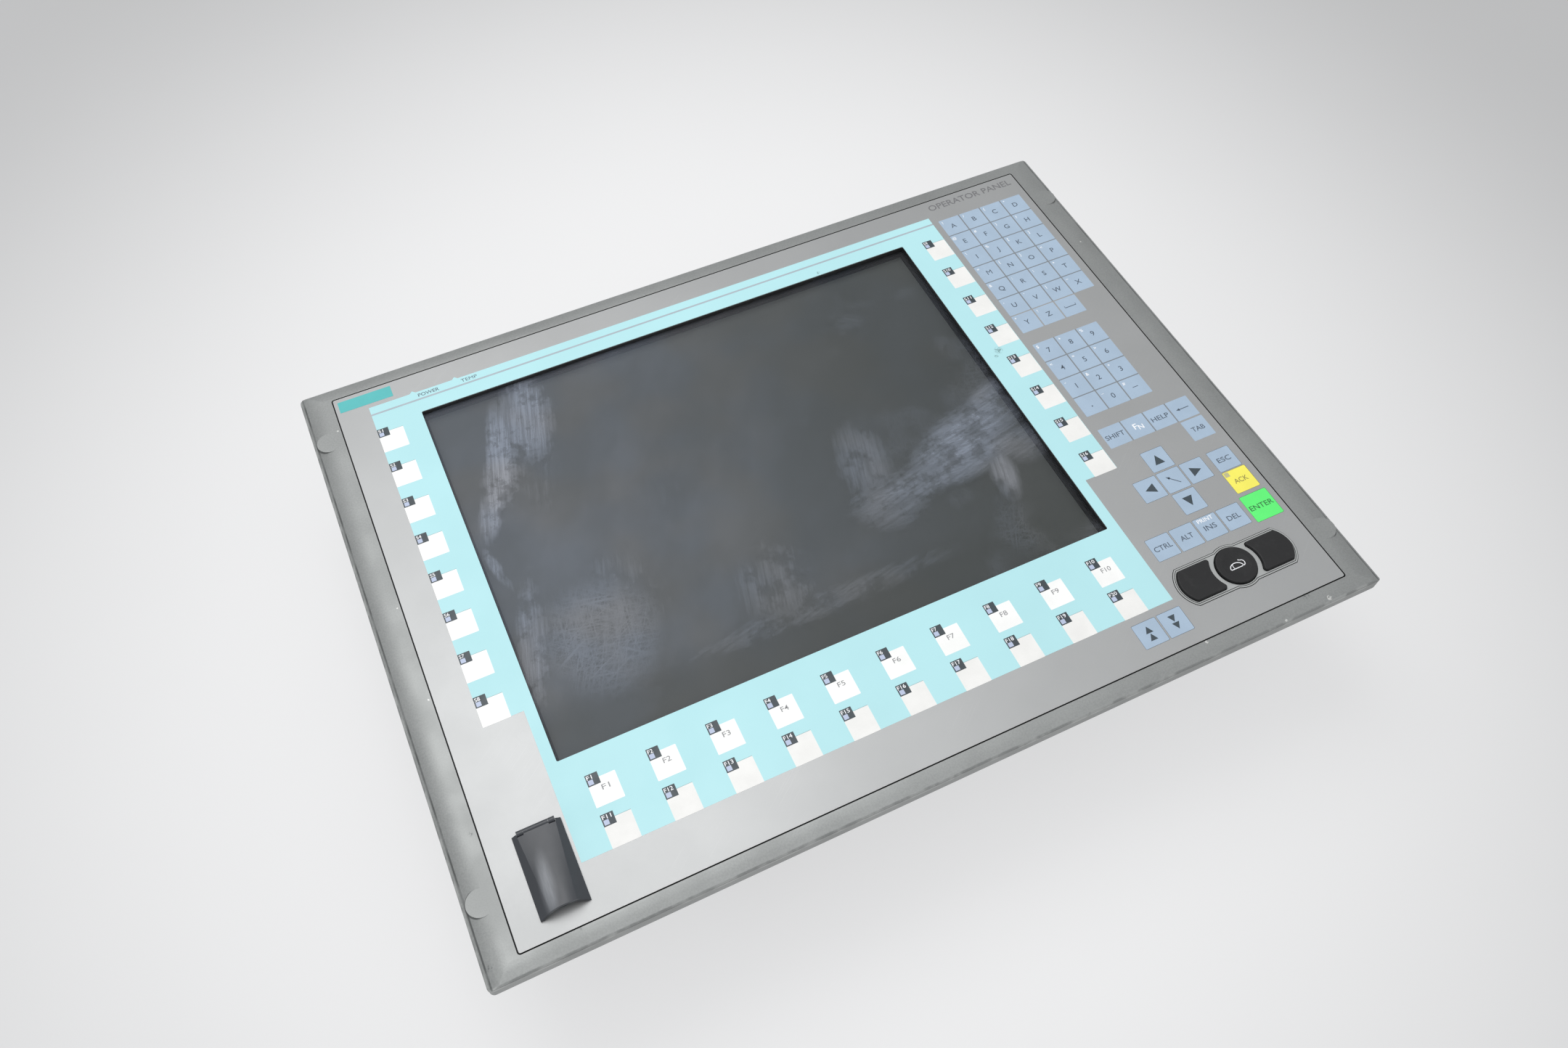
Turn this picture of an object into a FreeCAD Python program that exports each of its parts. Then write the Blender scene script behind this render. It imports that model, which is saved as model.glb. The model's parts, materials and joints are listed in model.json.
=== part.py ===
import FreeCAD, Part
import math
import os

# Operator panel with a 15 inch display, membrane keys, a pointing stick and a computer unit behind.
# Frame: +X along the long side, +Y up the panel, +Z out of its face. The panel lies on its back:
# the origin is the middle of the rear cover's outer face. Millimetres throughout.

os.makedirs("parts", exist_ok=True)
V = FreeCAD.Vector
ALONG_X, ALONG_Y, ALONG_Z = V(1, 0, 0), V(0, 1, 0), V(0, 0, 1)

# ---- driving dimensions ----
FRONT_W, FRONT_H = 483.0, 355.0        # 19 inch front, 8 height units
FACE_Z = 100.0                         # the foil's outer face above the rear cover
FRAME_T = 9.2                          # frame thickness in front of the cabinet wall
CORNER_R = 2.5                         # the frame's corners seen from the front
SIDE_DROP, SIDE_RUN = 2.3, 12.0        # left and right borders fall away by this over this
END_DROP, END_RUN = 0.9, 8.0           # top and bottom borders likewise
RIM_R = 1.1                            # rounding of the frame's outer rim
PAD_X, PAD_Y, PAD_R = 232.75, 139.8, 6.6   # the four blank rack-hole pads

FOIL_W, FOIL_H, FOIL_T = 448.0, 336.0, 0.6
FOIL_GAP = 0.7                         # dark joint between foil and frame
PLATE_T = 1.5
LEDGE_X, LEDGE_Y = 219.0, 163.0        # half sizes of the frame's inner opening
FLANGE_X, FLANGE_Y = 227.5, 165.5      # half sizes of the housing's flange
FLANGE_T, SHEET_T = 1.5, 1.5

SCREEN_X, SCREEN_Y = -25.8, 23.8       # display centre
SCREEN_W, SCREEN_H = 308.6, 231.0      # display opening
PANE_W, PANE_H, PANE_T = 320.0, 242.0, 3.0
PANE_GASKET_T = 1.2
LCD_W, LCD_H, LCD_T = 331.0, 254.0, 12.0

KEY, KEY_PITCH, ROW_PITCH = 14.0, 15.1, 14.95
KEY_GAP, CAP_T, KEY_DEPTH = 0.15, 1.3, 3.4
KEY_CORNER, PLUNGER_R = 0.6, 2.5
SIDE_KEYS, SIDE_PITCH, SIDE_TOP = 8, 25.77, 127.0
SIDE_LEFT_X, SIDE_RIGHT_X = -199.4, 148.0
ROW_KEYS, ROW_KEY_PITCH, ROW_LEFT = 10, 30.75, -163.8
ROW_UPPER_Y, ROW_LOWER_Y = -114.0, -135.0
BLOCK_LEFT, ALPHA_TOP, DIGIT_TOP = 166.6, 142.2, 28.3

BOARD_T, BOARD_DROP = 1.6, 5.2         # keypad board and its depth below the face
LABEL_T = 0.3
LIGHT_X, LIGHT_Y, LIGHT_R = (-181.1, -156.2), 154.4, 1.5    # the two indicator lights behind the foil
DOME_R, DOME_TOP_R, DOME_H = 4.0, 2.4, 0.9

POINTER_X, POINTER_Y = 176.1, -139.4
BEZEL_L, BEZEL_H, BEZEL_END, BULGE_R = 36.0, 11.5, 30.6, 12.95   # half sizes of the bezel
STICK_R, STICK_GAP, PROUD = 10.9, 0.5, 1.8
BUTTON_H, BUTTON_INNER_R, BUTTON_MARGIN, BUTTON_GAP = 9.5, 14.2, 1.8, 0.3
BEZEL_TOP = FACE_Z + 0.2
LINE_INSET, LINE_W, LINE_DEPTH = 0.7, 0.35, 0.4    # fine groove that follows the bezel's outline
PIVOT_DROP, TRUNNION_R, RUNNING = 3.0, 0.6, 0.05

USB_X, USB_TOP, USB_END, USB_W = -199.2, -118.2, -159.5, 23.5
HINGE_Y, HINGE_UP, BARREL_R, PIN_R, BARREL_W = -118.1, 1.8, 1.5, 0.9, 12.0
NOTCH_R, NOTCH_UP, NOTCH_L = 11.7, 5.9, 3.4    # finger notch in the cover's free end
HINGE_W, HINGE_SLOT = 18.3, 1.65       # width over the hinge lugs, length of the cover's slot for them
WELL_W, WELL_TOP, WELL_END, WELL_DEPTH, COVER_GAP = 18.0, -122.5, -155.5, 5.6, 0.3

HOUSING_W, HOUSING_H = 448.0, 319.0    # passes through a 450 x 321 cabinet cut-out
UNIT_W, UNIT_H, UNIT_T = 300.0, 270.0, 46.0
COVER_T = 1.5

# ---- derived levels ----
PLATE_TOP = FACE_Z - FOIL_T
LEDGE_TOP = PLATE_TOP - PLATE_T
FRAME_BACK = FACE_Z - FRAME_T
FLANGE_BOTTOM = FRAME_BACK + 0.5
FLANGE_TOP = FLANGE_BOTTOM + FLANGE_T
PANE_TOP = LEDGE_TOP - PANE_GASKET_T
BOARD_TOP = FACE_Z - BOARD_DROP
LCD_TOP = FLANGE_TOP
LCD_BOTTOM = LCD_TOP - LCD_T
CARRIER_T = 1.5
CARRIER_BOTTOM = LCD_BOTTOM - CARRIER_T
HOUSING_FLOOR = UNIT_T + SHEET_T
UNIT_ROOF = UNIT_T - SHEET_T
HINGE_Z = FACE_Z + HINGE_UP
PIVOT_Z = FACE_Z - PIVOT_DROP


# ---- small helpers ----
def block(x0, x1, y0, y1, z0, z1):
    return Part.makeBox(x1 - x0, y1 - y0, z1 - z0, V(x0, y0, z0))


def centred(cx, cy, w, h, z0, z1):
    return block(cx - w / 2, cx + w / 2, cy - h / 2, cy + h / 2, z0, z1)


def rod(r, length, start, direction):
    return Part.makeCylinder(r, length, start, direction)


def edges_along(shape, direction):
    """Straight edges parallel to a direction."""
    found = []
    for edge in shape.Edges:
        straight = isinstance(edge.Curve, Part.Line)
        if straight and abs(edge.tangentAt(edge.FirstParameter).dot(direction)) > 0.999:
            found.append(edge)
    return found


def rounded(cx, cy, w, h, z0, z1, radius):
    """Upright box with rounded vertical edges."""
    box = centred(cx, cy, w, h, z0, z1)
    return box.makeFillet(radius, edges_along(box, ALONG_Z))


def ring(cx, cy, w, h, inner_w, inner_h, z0, z1):
    return centred(cx, cy, w, h, z0, z1).cut(centred(cx, cy, inner_w, inner_h, z0 - 1, z1 + 1))


def prism(points, z0, z1):
    """Upright prism over a closed outline of points."""
    corners = [V(x, y, z0) for x, y in points]
    face = Part.Face(Part.makePolygon(corners + corners[:1]))
    return face.extrude(V(0, 0, z1 - z0))


def slot(cx, cy, length, width, z0, z1):
    """Upright obround, longest along X."""
    straight = length - width
    body = centred(cx, cy, straight, width, z0, z1)
    ends = [rod(width / 2, z1 - z0, V(cx + side * straight / 2, cy, z0), ALONG_Z) for side in (-1, 1)]
    return body.fuse(ends).removeSplitter()


def save(name, *solids):
    shape = solids[0] if len(solids) == 1 else Part.makeCompound(list(solids))
    count = len(shape.Solids)
    print(name, "solids", count, "valid", shape.isValid(), "volume", round(shape.Volume, 1))
    if count == 1:
        shape = shape.Solids[0]
    shape.exportStep("parts/" + name + ".step")


# ---- key layout: centre and size of every key ----
def column_x(column):
    return BLOCK_LEFT + column * KEY_PITCH


def printed_keys():
    """Keys that are zones of the one foil."""
    keys = []
    for row in range(SIDE_KEYS):
        y = SIDE_TOP - row * SIDE_PITCH
        keys.append((SIDE_LEFT_X, y))
        keys.append((SIDE_RIGHT_X, y))
    for column in range(ROW_KEYS):
        x = ROW_LEFT + column * ROW_KEY_PITCH
        keys.append((x, ROW_UPPER_Y))
        keys.append((x, ROW_LOWER_Y))
    for row in range(7):
        for column in range(4 if row < 6 else 3):
            keys.append((column_x(column), ALPHA_TOP - row * ROW_PITCH))
    for row in range(4):
        for column in range(3):
            keys.append((column_x(column), DIGIT_TOP - row * ROW_PITCH))
    for column in range(4):
        keys.append((column_x(column), -41.2))
    keys.append((column_x(3), -56.5))
    return keys


MOVING_KEYS = {
    "key_up": (178.6, -65.0, KEY, KEY),
    "key_left": (163.5, -80.2, KEY, KEY),
    "key_home": (178.6, -80.2, KEY, KEY),
    "key_right": (193.7, -80.2, KEY, KEY),
    "key_down": (178.6, -95.4, KEY, KEY),
    "key_esc": (212.0, -80.2, KEY, KEY),
    "key_ack": (212.3, -95.4, 14.8, 14.6),
    "key_enter": (212.0, -113.8, 17.0, 17.0),
    "key_ctrl": (148.5, -113.7, KEY, KEY),
    "key_alt": (163.6, -113.7, KEY, KEY),
    "key_ins": (178.7, -113.7, KEY, KEY),
    "key_del": (193.8, -113.7, KEY, KEY),
    "key_page_up": (113.2, -153.5, KEY, KEY),
    "key_page_down": (128.3, -153.5, KEY, KEY),
}


# ---- outlines of the pointing device, about its own centre ----
def bezel_face(z):
    """Long bar with arched ends and a round bulge in the middle."""
    bulge_x = math.sqrt(BULGE_R ** 2 - BEZEL_H ** 2)
    edges = []
    for side in (1, -1):
        edges.append(Part.LineSegment(V(-side * BEZEL_END, side * BEZEL_H, z),
                                      V(-side * bulge_x, side * BEZEL_H, z)).toShape())
        edges.append(Part.Arc(V(-side * bulge_x, side * BEZEL_H, z), V(0, side * BULGE_R, z),
                              V(side * bulge_x, side * BEZEL_H, z)).toShape())
        edges.append(Part.LineSegment(V(side * bulge_x, side * BEZEL_H, z),
                                      V(side * BEZEL_END, side * BEZEL_H, z)).toShape())
        edges.append(Part.Arc(V(side * BEZEL_END, side * BEZEL_H, z), V(side * BEZEL_L, 0, z),
                              V(side * BEZEL_END, -side * BEZEL_H, z)).toShape())
    return Part.Face(Part.Wire(edges))


def button_face(side, z, grow=0.0):
    """Button outline: hollow towards the stick, arched outwards; side is -1 left, 1 right."""
    sagitta = BEZEL_L - BEZEL_END
    end_r = (BEZEL_H ** 2 + sagitta ** 2) / (2 * sagitta)
    end_x = BEZEL_L - end_r
    outer_r = end_r - BUTTON_MARGIN + grow
    inner_r = BUTTON_INNER_R - grow
    half = BUTTON_H + grow
    inner = math.sqrt(inner_r ** 2 - half ** 2)
    outer = end_x + math.sqrt(outer_r ** 2 - half ** 2)
    edges = [
        Part.LineSegment(V(side * inner, half, z), V(side * outer, half, z)).toShape(),
        Part.Arc(V(side * outer, half, z), V(side * (end_x + outer_r), 0, z),
                 V(side * outer, -half, z)).toShape(),
        Part.LineSegment(V(side * outer, -half, z), V(side * inner, -half, z)).toShape(),
        Part.Arc(V(side * inner, -half, z), V(side * inner_r, 0, z), V(side * inner, half, z)).toShape(),
    ]
    return Part.Face(Part.Wire(edges))


def button_prism(side, z0, z1, grow=0.0, corner=1.5):
    body = button_face(side, z0, grow).extrude(V(0, 0, z1 - z0))
    return body.makeFillet(corner + grow, edges_along(body, ALONG_Z))


def bezel_prism(z0, z1):
    return bezel_face(z0).extrude(V(0, 0, z1 - z0))


def grown_bezel(grow, z0, z1):
    return bezel_face(z0).makeOffset2D(grow).extrude(V(0, 0, z1 - z0))


def place_pointer(shape):
    shape.translate(V(POINTER_X, POINTER_Y, 0))
    return shape


# ---- front frame ----
def border_profile(half, run, drop):
    """Cross-section of the whole front: flat middle, borders curving down, rounded rims."""
    flat = half - run
    rim_top = FACE_Z - drop
    span = run - RIM_R
    radius = (span ** 2 + (drop - 0.1) ** 2) / (2 * (drop - 0.1))
    sag = radius - math.sqrt(radius ** 2 - (span / 2) ** 2)
    pts = {}
    for side in (-1, 1):
        pts[side] = (V(side * flat, 0, FACE_Z), V(side * (flat + span / 2), 0, FACE_Z - sag),
                     V(side * (half - RIM_R), 0, rim_top + 0.1),
                     V(side * (half - 0.25), 0, rim_top - RIM_R * 0.4),
                     V(side * half, 0, rim_top - RIM_R), V(side * half, 0, FRAME_BACK))
    left, right = pts[-1], pts[1]
    edges = [Part.LineSegment(left[0], right[0]).toShape(),
             Part.Arc(right[0], right[1], right[2]).toShape(),
             Part.Arc(right[2], right[3], right[4]).toShape(),
             Part.LineSegment(right[4], right[5]).toShape(),
             Part.LineSegment(right[5], left[5]).toShape(),
             Part.LineSegment(left[5], left[4]).toShape(),
             Part.Arc(left[4], left[3], left[2]).toShape(),
             Part.Arc(left[2], left[1], left[0]).toShape()]
    return Part.Face(Part.Wire(edges))


def front_frame():
    across = border_profile(FRONT_W / 2, SIDE_RUN, SIDE_DROP)
    across.translate(V(0, -FRONT_H / 2, 0))
    body = across.extrude(V(0, FRONT_H, 0))
    upright = border_profile(FRONT_H / 2, END_RUN, END_DROP)
    upright.rotate(V(0, 0, 0), ALONG_Z, 90)
    upright.translate(V(-FRONT_W / 2, 0, 0))
    body = body.common(upright.extrude(V(FRONT_W, 0, 0)))
    body = body.common(rounded(0, 0, FRONT_W, FRONT_H, FRAME_BACK, FACE_Z, CORNER_R))
    pads = [rod(PAD_R, FRAME_T - 1, V(sx * PAD_X, sy * PAD_Y, FRAME_BACK + 1), ALONG_Z)
            for sx in (-1, 1) for sy in (-1, 1)]
    body = body.fuse(pads)
    recess = rounded(0, 0, FOIL_W + 2 * FOIL_GAP, FOIL_H + 2 * FOIL_GAP, LEDGE_TOP, FACE_Z + 5, 1.5)
    opening = rounded(0, 0, 2 * LEDGE_X, 2 * LEDGE_Y, FRAME_BACK - 1, FACE_Z, 4.0)
    rear = rounded(0, 0, 2 * FLANGE_X + 1, 2 * FLANGE_Y + 1, FRAME_BACK - 1, FLANGE_TOP, 3.0)
    groove = ring(0, 0, 470.0, 345.0, 458.0, 335.0, FRAME_BACK - 1, FRAME_BACK + 1.0)
    body = body.cut([recess, opening, rear, groove])
    return body.cut([rod(1.5, 4.0, V(x, y, FLANGE_TOP - 1), ALONG_Z) for x, y in flange_screw_places()])


def flange_screw_places():
    side = FLANGE_X - 2.2
    places = [(s * side, y) for s in (-1, 1) for y in (-110.0, 0.0, 110.0)]
    end = FLANGE_Y - 2.9
    places += [(x, s * end) for s in (-1, 1) for x in (-180.0, -60.0, 60.0, 180.0)]
    return places


def countersunk_screw(x, y):
    """Screw with a conical head flush with the flange's rear face."""
    head = Part.makeCone(2.6, 1.5, 1.2, V(x, y, FLANGE_BOTTOM), ALONG_Z)
    shank = rod(1.5, 3.0, V(x, y, FLANGE_BOTTOM + 1.2), ALONG_Z)
    return head.fuse(shank).removeSplitter()


def mounting_gasket():
    """Square cord in the frame's groove, proud of the sealing face."""
    return ring(0, 0, 469.6, 344.6, 458.4, 335.4, FRAME_BACK - 1.2, FRAME_BACK + 1.0)


# ---- foil, plate, keys ----
def key_holes(z0, z1):
    return [rounded(x, y, w + 2 * KEY_GAP, h + 2 * KEY_GAP, z0, z1, KEY_CORNER + KEY_GAP)
            for x, y, w, h in MOVING_KEYS.values()]


def front_openings(z0, z1):
    screen = rounded(SCREEN_X, SCREEN_Y, SCREEN_W, SCREEN_H, z0, z1, 0.8)
    pointer = place_pointer(grown_bezel(0.35, z0, z1))
    well = centred(USB_X, (WELL_TOP + WELL_END) / 2, WELL_W + 3, WELL_TOP - WELL_END + 3, z0, z1)
    lugs = centred(USB_X, HINGE_Y - 1.2, HINGE_W, 5.0, z0, z1)
    return [screen, pointer, well, lugs]


def label_places():
    """Insert strips behind the foil: centre, width and height."""
    side_mid = SIDE_TOP - (SIDE_KEYS - 1) * SIDE_PITCH / 2
    side_len = (SIDE_KEYS - 1) * SIDE_PITCH + 20
    row_mid = ROW_LEFT + (ROW_KEYS - 1) * ROW_KEY_PITCH / 2
    row_len = (ROW_KEYS - 1) * ROW_KEY_PITCH + 20
    sides = [(x, side_mid, 17.0, side_len) for x in (SIDE_LEFT_X, SIDE_RIGHT_X)]
    rows = [(row_mid, y, row_len, 17.0) for y in (ROW_UPPER_Y, ROW_LOWER_Y)]
    return sides, rows


def label_strips(places):
    return [centred(x, y, w, h, PLATE_TOP - LABEL_T, PLATE_TOP) for x, y, w, h in places]


def keypad_foil():
    body = rounded(0, 0, FOIL_W, FOIL_H, PLATE_TOP, FACE_Z, 1.0)
    return body.cut(front_openings(PLATE_TOP - 1, FACE_Z + 1) + key_holes(PLATE_TOP - 1, FACE_Z + 1))


def front_plate():
    body = rounded(0, 0, FOIL_W, FOIL_H, LEDGE_TOP, PLATE_TOP, 1.0)
    sides, rows = label_places()
    domes = [centred(x, y, 11.0, 11.0, LEDGE_TOP - 1, PLATE_TOP + 1) for x, y in printed_keys()]
    tools = front_openings(LEDGE_TOP - 1, PLATE_TOP + 1) + key_holes(LEDGE_TOP - 1, PLATE_TOP + 1)
    tools += [rod(LIGHT_R + 0.1, 5.0, V(x, LIGHT_Y, LEDGE_TOP - 1), ALONG_Z) for x in LIGHT_X]
    return body.cut(tools + label_strips(sides + rows)).cut(domes)


def key_cap(x, y, w, h):
    """Square cap flush with the foil on a round plunger over its dome."""
    cap = rounded(x, y, w, h, FACE_Z - CAP_T, FACE_Z, KEY_CORNER)
    plunger = rod(PLUNGER_R, KEY_DEPTH - CAP_T, V(x, y, FACE_Z - KEY_DEPTH), ALONG_Z)
    return cap.fuse(plunger).removeSplitter()


def key_domes():
    """Snap domes on the board, one under each key: low cones with a flat top."""
    places = printed_keys() + [(key[0], key[1]) for key in MOVING_KEYS.values()]
    return [Part.makeCone(DOME_R, DOME_TOP_R, DOME_H, V(x, y, BOARD_TOP), ALONG_Z) for x, y in places]


def keypad_board():
    body = rounded(0, 0, 434.0, 322.0, BOARD_TOP - BOARD_T, BOARD_TOP, 4.0)
    window = centred(SCREEN_X, SCREEN_Y, PANE_W + 5, PANE_H + 5, BOARD_TOP - 5, BOARD_TOP + 5)
    well = centred(USB_X, (WELL_TOP + WELL_END) / 2, WELL_W + 4, WELL_TOP - WELL_END + 4,
                   BOARD_TOP - 5, BOARD_TOP + 5)
    spacers = [rod(2.5, LEDGE_TOP - BOARD_TOP, V(x, y, BOARD_TOP), ALONG_Z)
               for x in (-211.0, 158.0) for y in (-100.0, 158.0)]
    return [body.cut([window, well])] + spacers


# ---- pointing stick and buttons ----
def pointer_bezel():
    """Grey surround with bores for the stick and the two buttons, and lugs that carry the gimbal."""
    body = bezel_prism(FACE_Z - 2.1, BEZEL_TOP)
    body = body.fuse(grown_bezel(2.2, FACE_Z - 4.2, FACE_Z - 2.1)).removeSplitter()
    holes = [rod(STICK_R + STICK_GAP, 10, V(0, 0, FACE_Z - 6), ALONG_Z)]
    for side in (-1, 1):
        holes.append(button_prism(side, FACE_Z - 6, FACE_Z + 2, BUTTON_GAP))
        holes.append(button_prism(side, FACE_Z - 6, FACE_Z - 1.4, 1.2))
    line = grown_bezel(-LINE_INSET, BEZEL_TOP - LINE_DEPTH, FACE_Z + 1)
    line = line.cut(grown_bezel(-LINE_INSET - LINE_W, BEZEL_TOP - LINE_DEPTH - 1, FACE_Z + 2))
    body = body.cut(holes + [line])
    lugs = [block(min(side * 6.6, side * 12.0), max(side * 6.6, side * 12.0), -2.0, 2.0,
                  PIVOT_Z - 1.2, PIVOT_Z + 1.0) for side in (-1, 1)]
    body = body.fuse(lugs)
    bore = rod(TRUNNION_R + RUNNING, 20, V(-10, 0, PIVOT_Z), ALONG_X)
    return place_pointer(body.cut(bore))


def stick_gimbal():
    """Ring between the stick and the bezel; its own trunnions lie along X."""
    body = rod(6.0, 1.6, V(0, 0, PIVOT_Z - 0.8), ALONG_Z).cut(rod(4.2, 3, V(0, 0, PIVOT_Z - 1.5), ALONG_Z))
    pins = [rod(TRUNNION_R, 2.6, V(side * 5.3, 0, PIVOT_Z), V(side, 0, 0)) for side in (-1, 1)]
    body = body.fuse(pins).removeSplitter()
    return place_pointer(body.cut(rod(TRUNNION_R + RUNNING, 14, V(0, -7, PIVOT_Z), ALONG_Y)))


def pointer_stick():
    """Round cap with a dished top on a short post."""
    cap = rod(STICK_R, PROUD + 1.0, V(0, 0, FACE_Z - 1.0), ALONG_Z)
    top = FACE_Z + PROUD
    rim = [e for e in cap.Edges if isinstance(e.Curve, Part.Circle) and abs(e.CenterOfMass.z - top) < 0.01]
    cap = cap.makeFillet(0.7, rim)
    dish_r = 60.0
    cap = cap.cut(Part.makeSphere(dish_r, V(0, 0, top - 0.5 + dish_r)))
    post = rod(3.0, 3.7, V(0, 0, FACE_Z - 4.6), ALONG_Z)
    pins = [rod(TRUNNION_R, 2.6, V(0, side * 2.6, PIVOT_Z), V(0, side, 0)) for side in (-1, 1)]
    return place_pointer(cap.fuse([post] + pins).removeSplitter())


def pointer_button(side):
    top = FACE_Z + PROUD
    body = button_prism(side, FACE_Z - 2.6, top)
    upper = [e for e in body.Edges if abs(e.BoundBox.ZMin - top) < 0.01 and abs(e.BoundBox.ZMax - top) < 0.01]
    body = body.makeFillet(0.7, upper)
    rim = button_prism(side, FACE_Z - 2.6, FACE_Z - 1.8, 0.8)
    plunger = rod(2.0, 1.6, V(side * 22.5, 0, FACE_Z - 4.0), ALONG_Z)
    return place_pointer(body.fuse([rim, plunger]).removeSplitter())


# ---- front socket and its cover ----
def cover_section(y, crown_w, side_h, top_h):
    """Cover cross-section: flat base, leaning flanks, crowned top."""
    half, crown = USB_W / 2, crown_w / 2
    base = FACE_Z + COVER_GAP
    corners = [V(USB_X - half, y, base), V(USB_X - half, y, base + 0.6), V(USB_X - crown, y, FACE_Z + side_h),
               V(USB_X + crown, y, FACE_Z + side_h), V(USB_X + half, y, base + 0.6), V(USB_X + half, y, base)]
    edges = [Part.LineSegment(corners[0], corners[1]).toShape(),
             Part.LineSegment(corners[1], corners[2]).toShape(),
             Part.Arc(corners[2], V(USB_X, y, FACE_Z + top_h), corners[3]).toShape(),
             Part.LineSegment(corners[3], corners[4]).toShape(),
             Part.LineSegment(corners[4], corners[5]).toShape(),
             Part.LineSegment(corners[5], corners[0]).toShape()]
    return Part.Wire(edges)


def usb_cover():
    """Flap that rises towards its free end, with a finger notch, a sealing lip and a hinge barrel."""
    body = Part.makeLoft([cover_section(USB_TOP, 18.6, 2.7, 3.3), cover_section(USB_END, 12.1, 6.3, 7.5)],
                         True, True)
    end_cut = prism([(USB_X - 20, USB_END - 5), (USB_X + 20, USB_END - 5), (USB_X + 20, USB_END),
                     (USB_X - 20, USB_END)], FACE_Z - 1, FACE_Z + 12)
    end_cut.rotate(V(USB_X, USB_END, FACE_Z), ALONG_X, -8)
    notch = rod(NOTCH_R, NOTCH_L, V(USB_X, USB_END - 0.1, FACE_Z + NOTCH_UP - NOTCH_R), ALONG_Y)
    slot = centred(USB_X, USB_TOP, HINGE_W + 0.3, 2 * HINGE_SLOT, FACE_Z - 1, FACE_Z + 5)
    body = body.cut([end_cut, notch, slot])
    lip_w, lip_mid, lip_len = WELL_W - 0.8, (WELL_TOP + WELL_END) / 2, WELL_TOP - WELL_END - 0.8
    lip = ring(USB_X, lip_mid, lip_w, lip_len, lip_w - 2, lip_len - 2, FACE_Z - 0.75, FACE_Z + 0.8)
    barrel = rod(BARREL_R, BARREL_W, V(USB_X - BARREL_W / 2, HINGE_Y, HINGE_Z), ALONG_X)
    web = block(USB_X - BARREL_W / 2, USB_X + BARREL_W / 2, USB_TOP - HINGE_SLOT - 0.5, HINGE_Y - 1.0,
                FACE_Z + 0.6, FACE_Z + 2.9)
    bore = rod(PIN_R + RUNNING, BARREL_W + 4, V(USB_X - BARREL_W / 2 - 2, HINGE_Y, HINGE_Z), ALONG_X)
    return body.fuse([lip, barrel, web]).removeSplitter().cut(bore)


def usb_port_housing():
    """Well behind the cover, with two hinge lugs beside the barrel."""
    mid, length = (WELL_TOP + WELL_END) / 2, WELL_TOP - WELL_END
    body = centred(USB_X, mid, WELL_W + 3, length + 3, FACE_Z - WELL_DEPTH - 2, FACE_Z)
    body = body.cut(centred(USB_X, mid, WELL_W, length, FACE_Z - WELL_DEPTH, FACE_Z + 1))
    bar = centred(USB_X, HINGE_Y - 1.2, HINGE_W, 5.0, LEDGE_TOP, FACE_Z)
    lugs = []
    for side in (-1, 1):
        near, far = side * (BARREL_W / 2 + 0.12), side * (HINGE_W / 2)
        start, end = USB_X + min(near, far), USB_X + max(near, far)
        stem = block(start, end, HINGE_Y - 1.1, HINGE_Y + 1.1, FACE_Z - 0.5, HINGE_Z)
        lugs.append(stem.fuse(rod(BARREL_R, end - start, V(start, HINGE_Y, HINGE_Z), ALONG_X)).removeSplitter())
    flange = centred(USB_X, mid, WELL_W + 3, length + 3, FACE_Z - WELL_DEPTH - 2, LEDGE_TOP)
    flange = flange.cut(centred(USB_X, mid, WELL_W, length, FACE_Z - WELL_DEPTH, FACE_Z))
    body = body.fuse([bar, flange] + lugs).removeSplitter()
    pin = rod(PIN_R, HINGE_W, V(USB_X - HINGE_W / 2, HINGE_Y, HINGE_Z), ALONG_X)
    socket = centred(USB_X, mid, 14.4, 7.0, FACE_Z - WELL_DEPTH - 5, FACE_Z)
    return body.cut([pin, socket])


def usb_shell(width, height, depth):
    """Socket about its mouth's centre, opening along +Z: sheet shell with a tongue."""
    body = centred(0, 0, width, height, -depth, 0)
    inner = centred(0, 0, width - 1.0, height - 1.0, -depth + 1, 1)
    tongue = centred(0, 0.9, width - 3.0, 1.8, -depth, -1.0)
    return body.cut(inner).fuse(tongue).removeSplitter()


def usb_socket_front():
    socket = usb_shell(14.4, 7.0, 13.0)
    socket.translate(V(USB_X, (WELL_TOP + WELL_END) / 2, FACE_Z - WELL_DEPTH))
    return socket


# ---- display stack ----
def pane_gasket():
    return ring(SCREEN_X, SCREEN_Y, PANE_W, PANE_H, SCREEN_W + 0.6, SCREEN_H + 0.6, PANE_TOP, LEDGE_TOP)


def display_pane():
    return rounded(SCREEN_X, SCREEN_Y, PANE_W, PANE_H, PANE_TOP - PANE_T, PANE_TOP, 2.0)


def lcd_bezel():
    """Sheet-metal shell of the display module, open at the active area."""
    body = rounded(SCREEN_X, SCREEN_Y, LCD_W, LCD_H, LCD_BOTTOM, LCD_TOP, 2.0)
    inner = centred(SCREEN_X, SCREEN_Y, LCD_W - 2, LCD_H - 2, LCD_BOTTOM + 1, LCD_TOP - 1)
    window = centred(SCREEN_X, SCREEN_Y, 306.0, 230.0, LCD_TOP - 2, LCD_TOP + 1)
    spacer = ring(SCREEN_X, SCREEN_Y, 318.0, 240.0, 310.0, 232.0, LCD_TOP, PANE_TOP - PANE_T)
    return body.cut([inner, window]).fuse(spacer).removeSplitter()


def lcd_glass():
    return centred(SCREEN_X, SCREEN_Y, 322.0, 245.0, LCD_TOP - 3.2, LCD_TOP - 1)


def light_guide():
    return centred(SCREEN_X, SCREEN_Y, 316.0, 232.0, LCD_BOTTOM + 1, LCD_TOP - 3.2)


def backlight_lamps():
    length, level = 316.0, (LCD_BOTTOM + LCD_TOP) / 2 - 1
    return [rod(1.5, length, V(SCREEN_X - length / 2, SCREEN_Y + side * 119.5, level), ALONG_X)
            for side in (-1, 1)]


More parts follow.
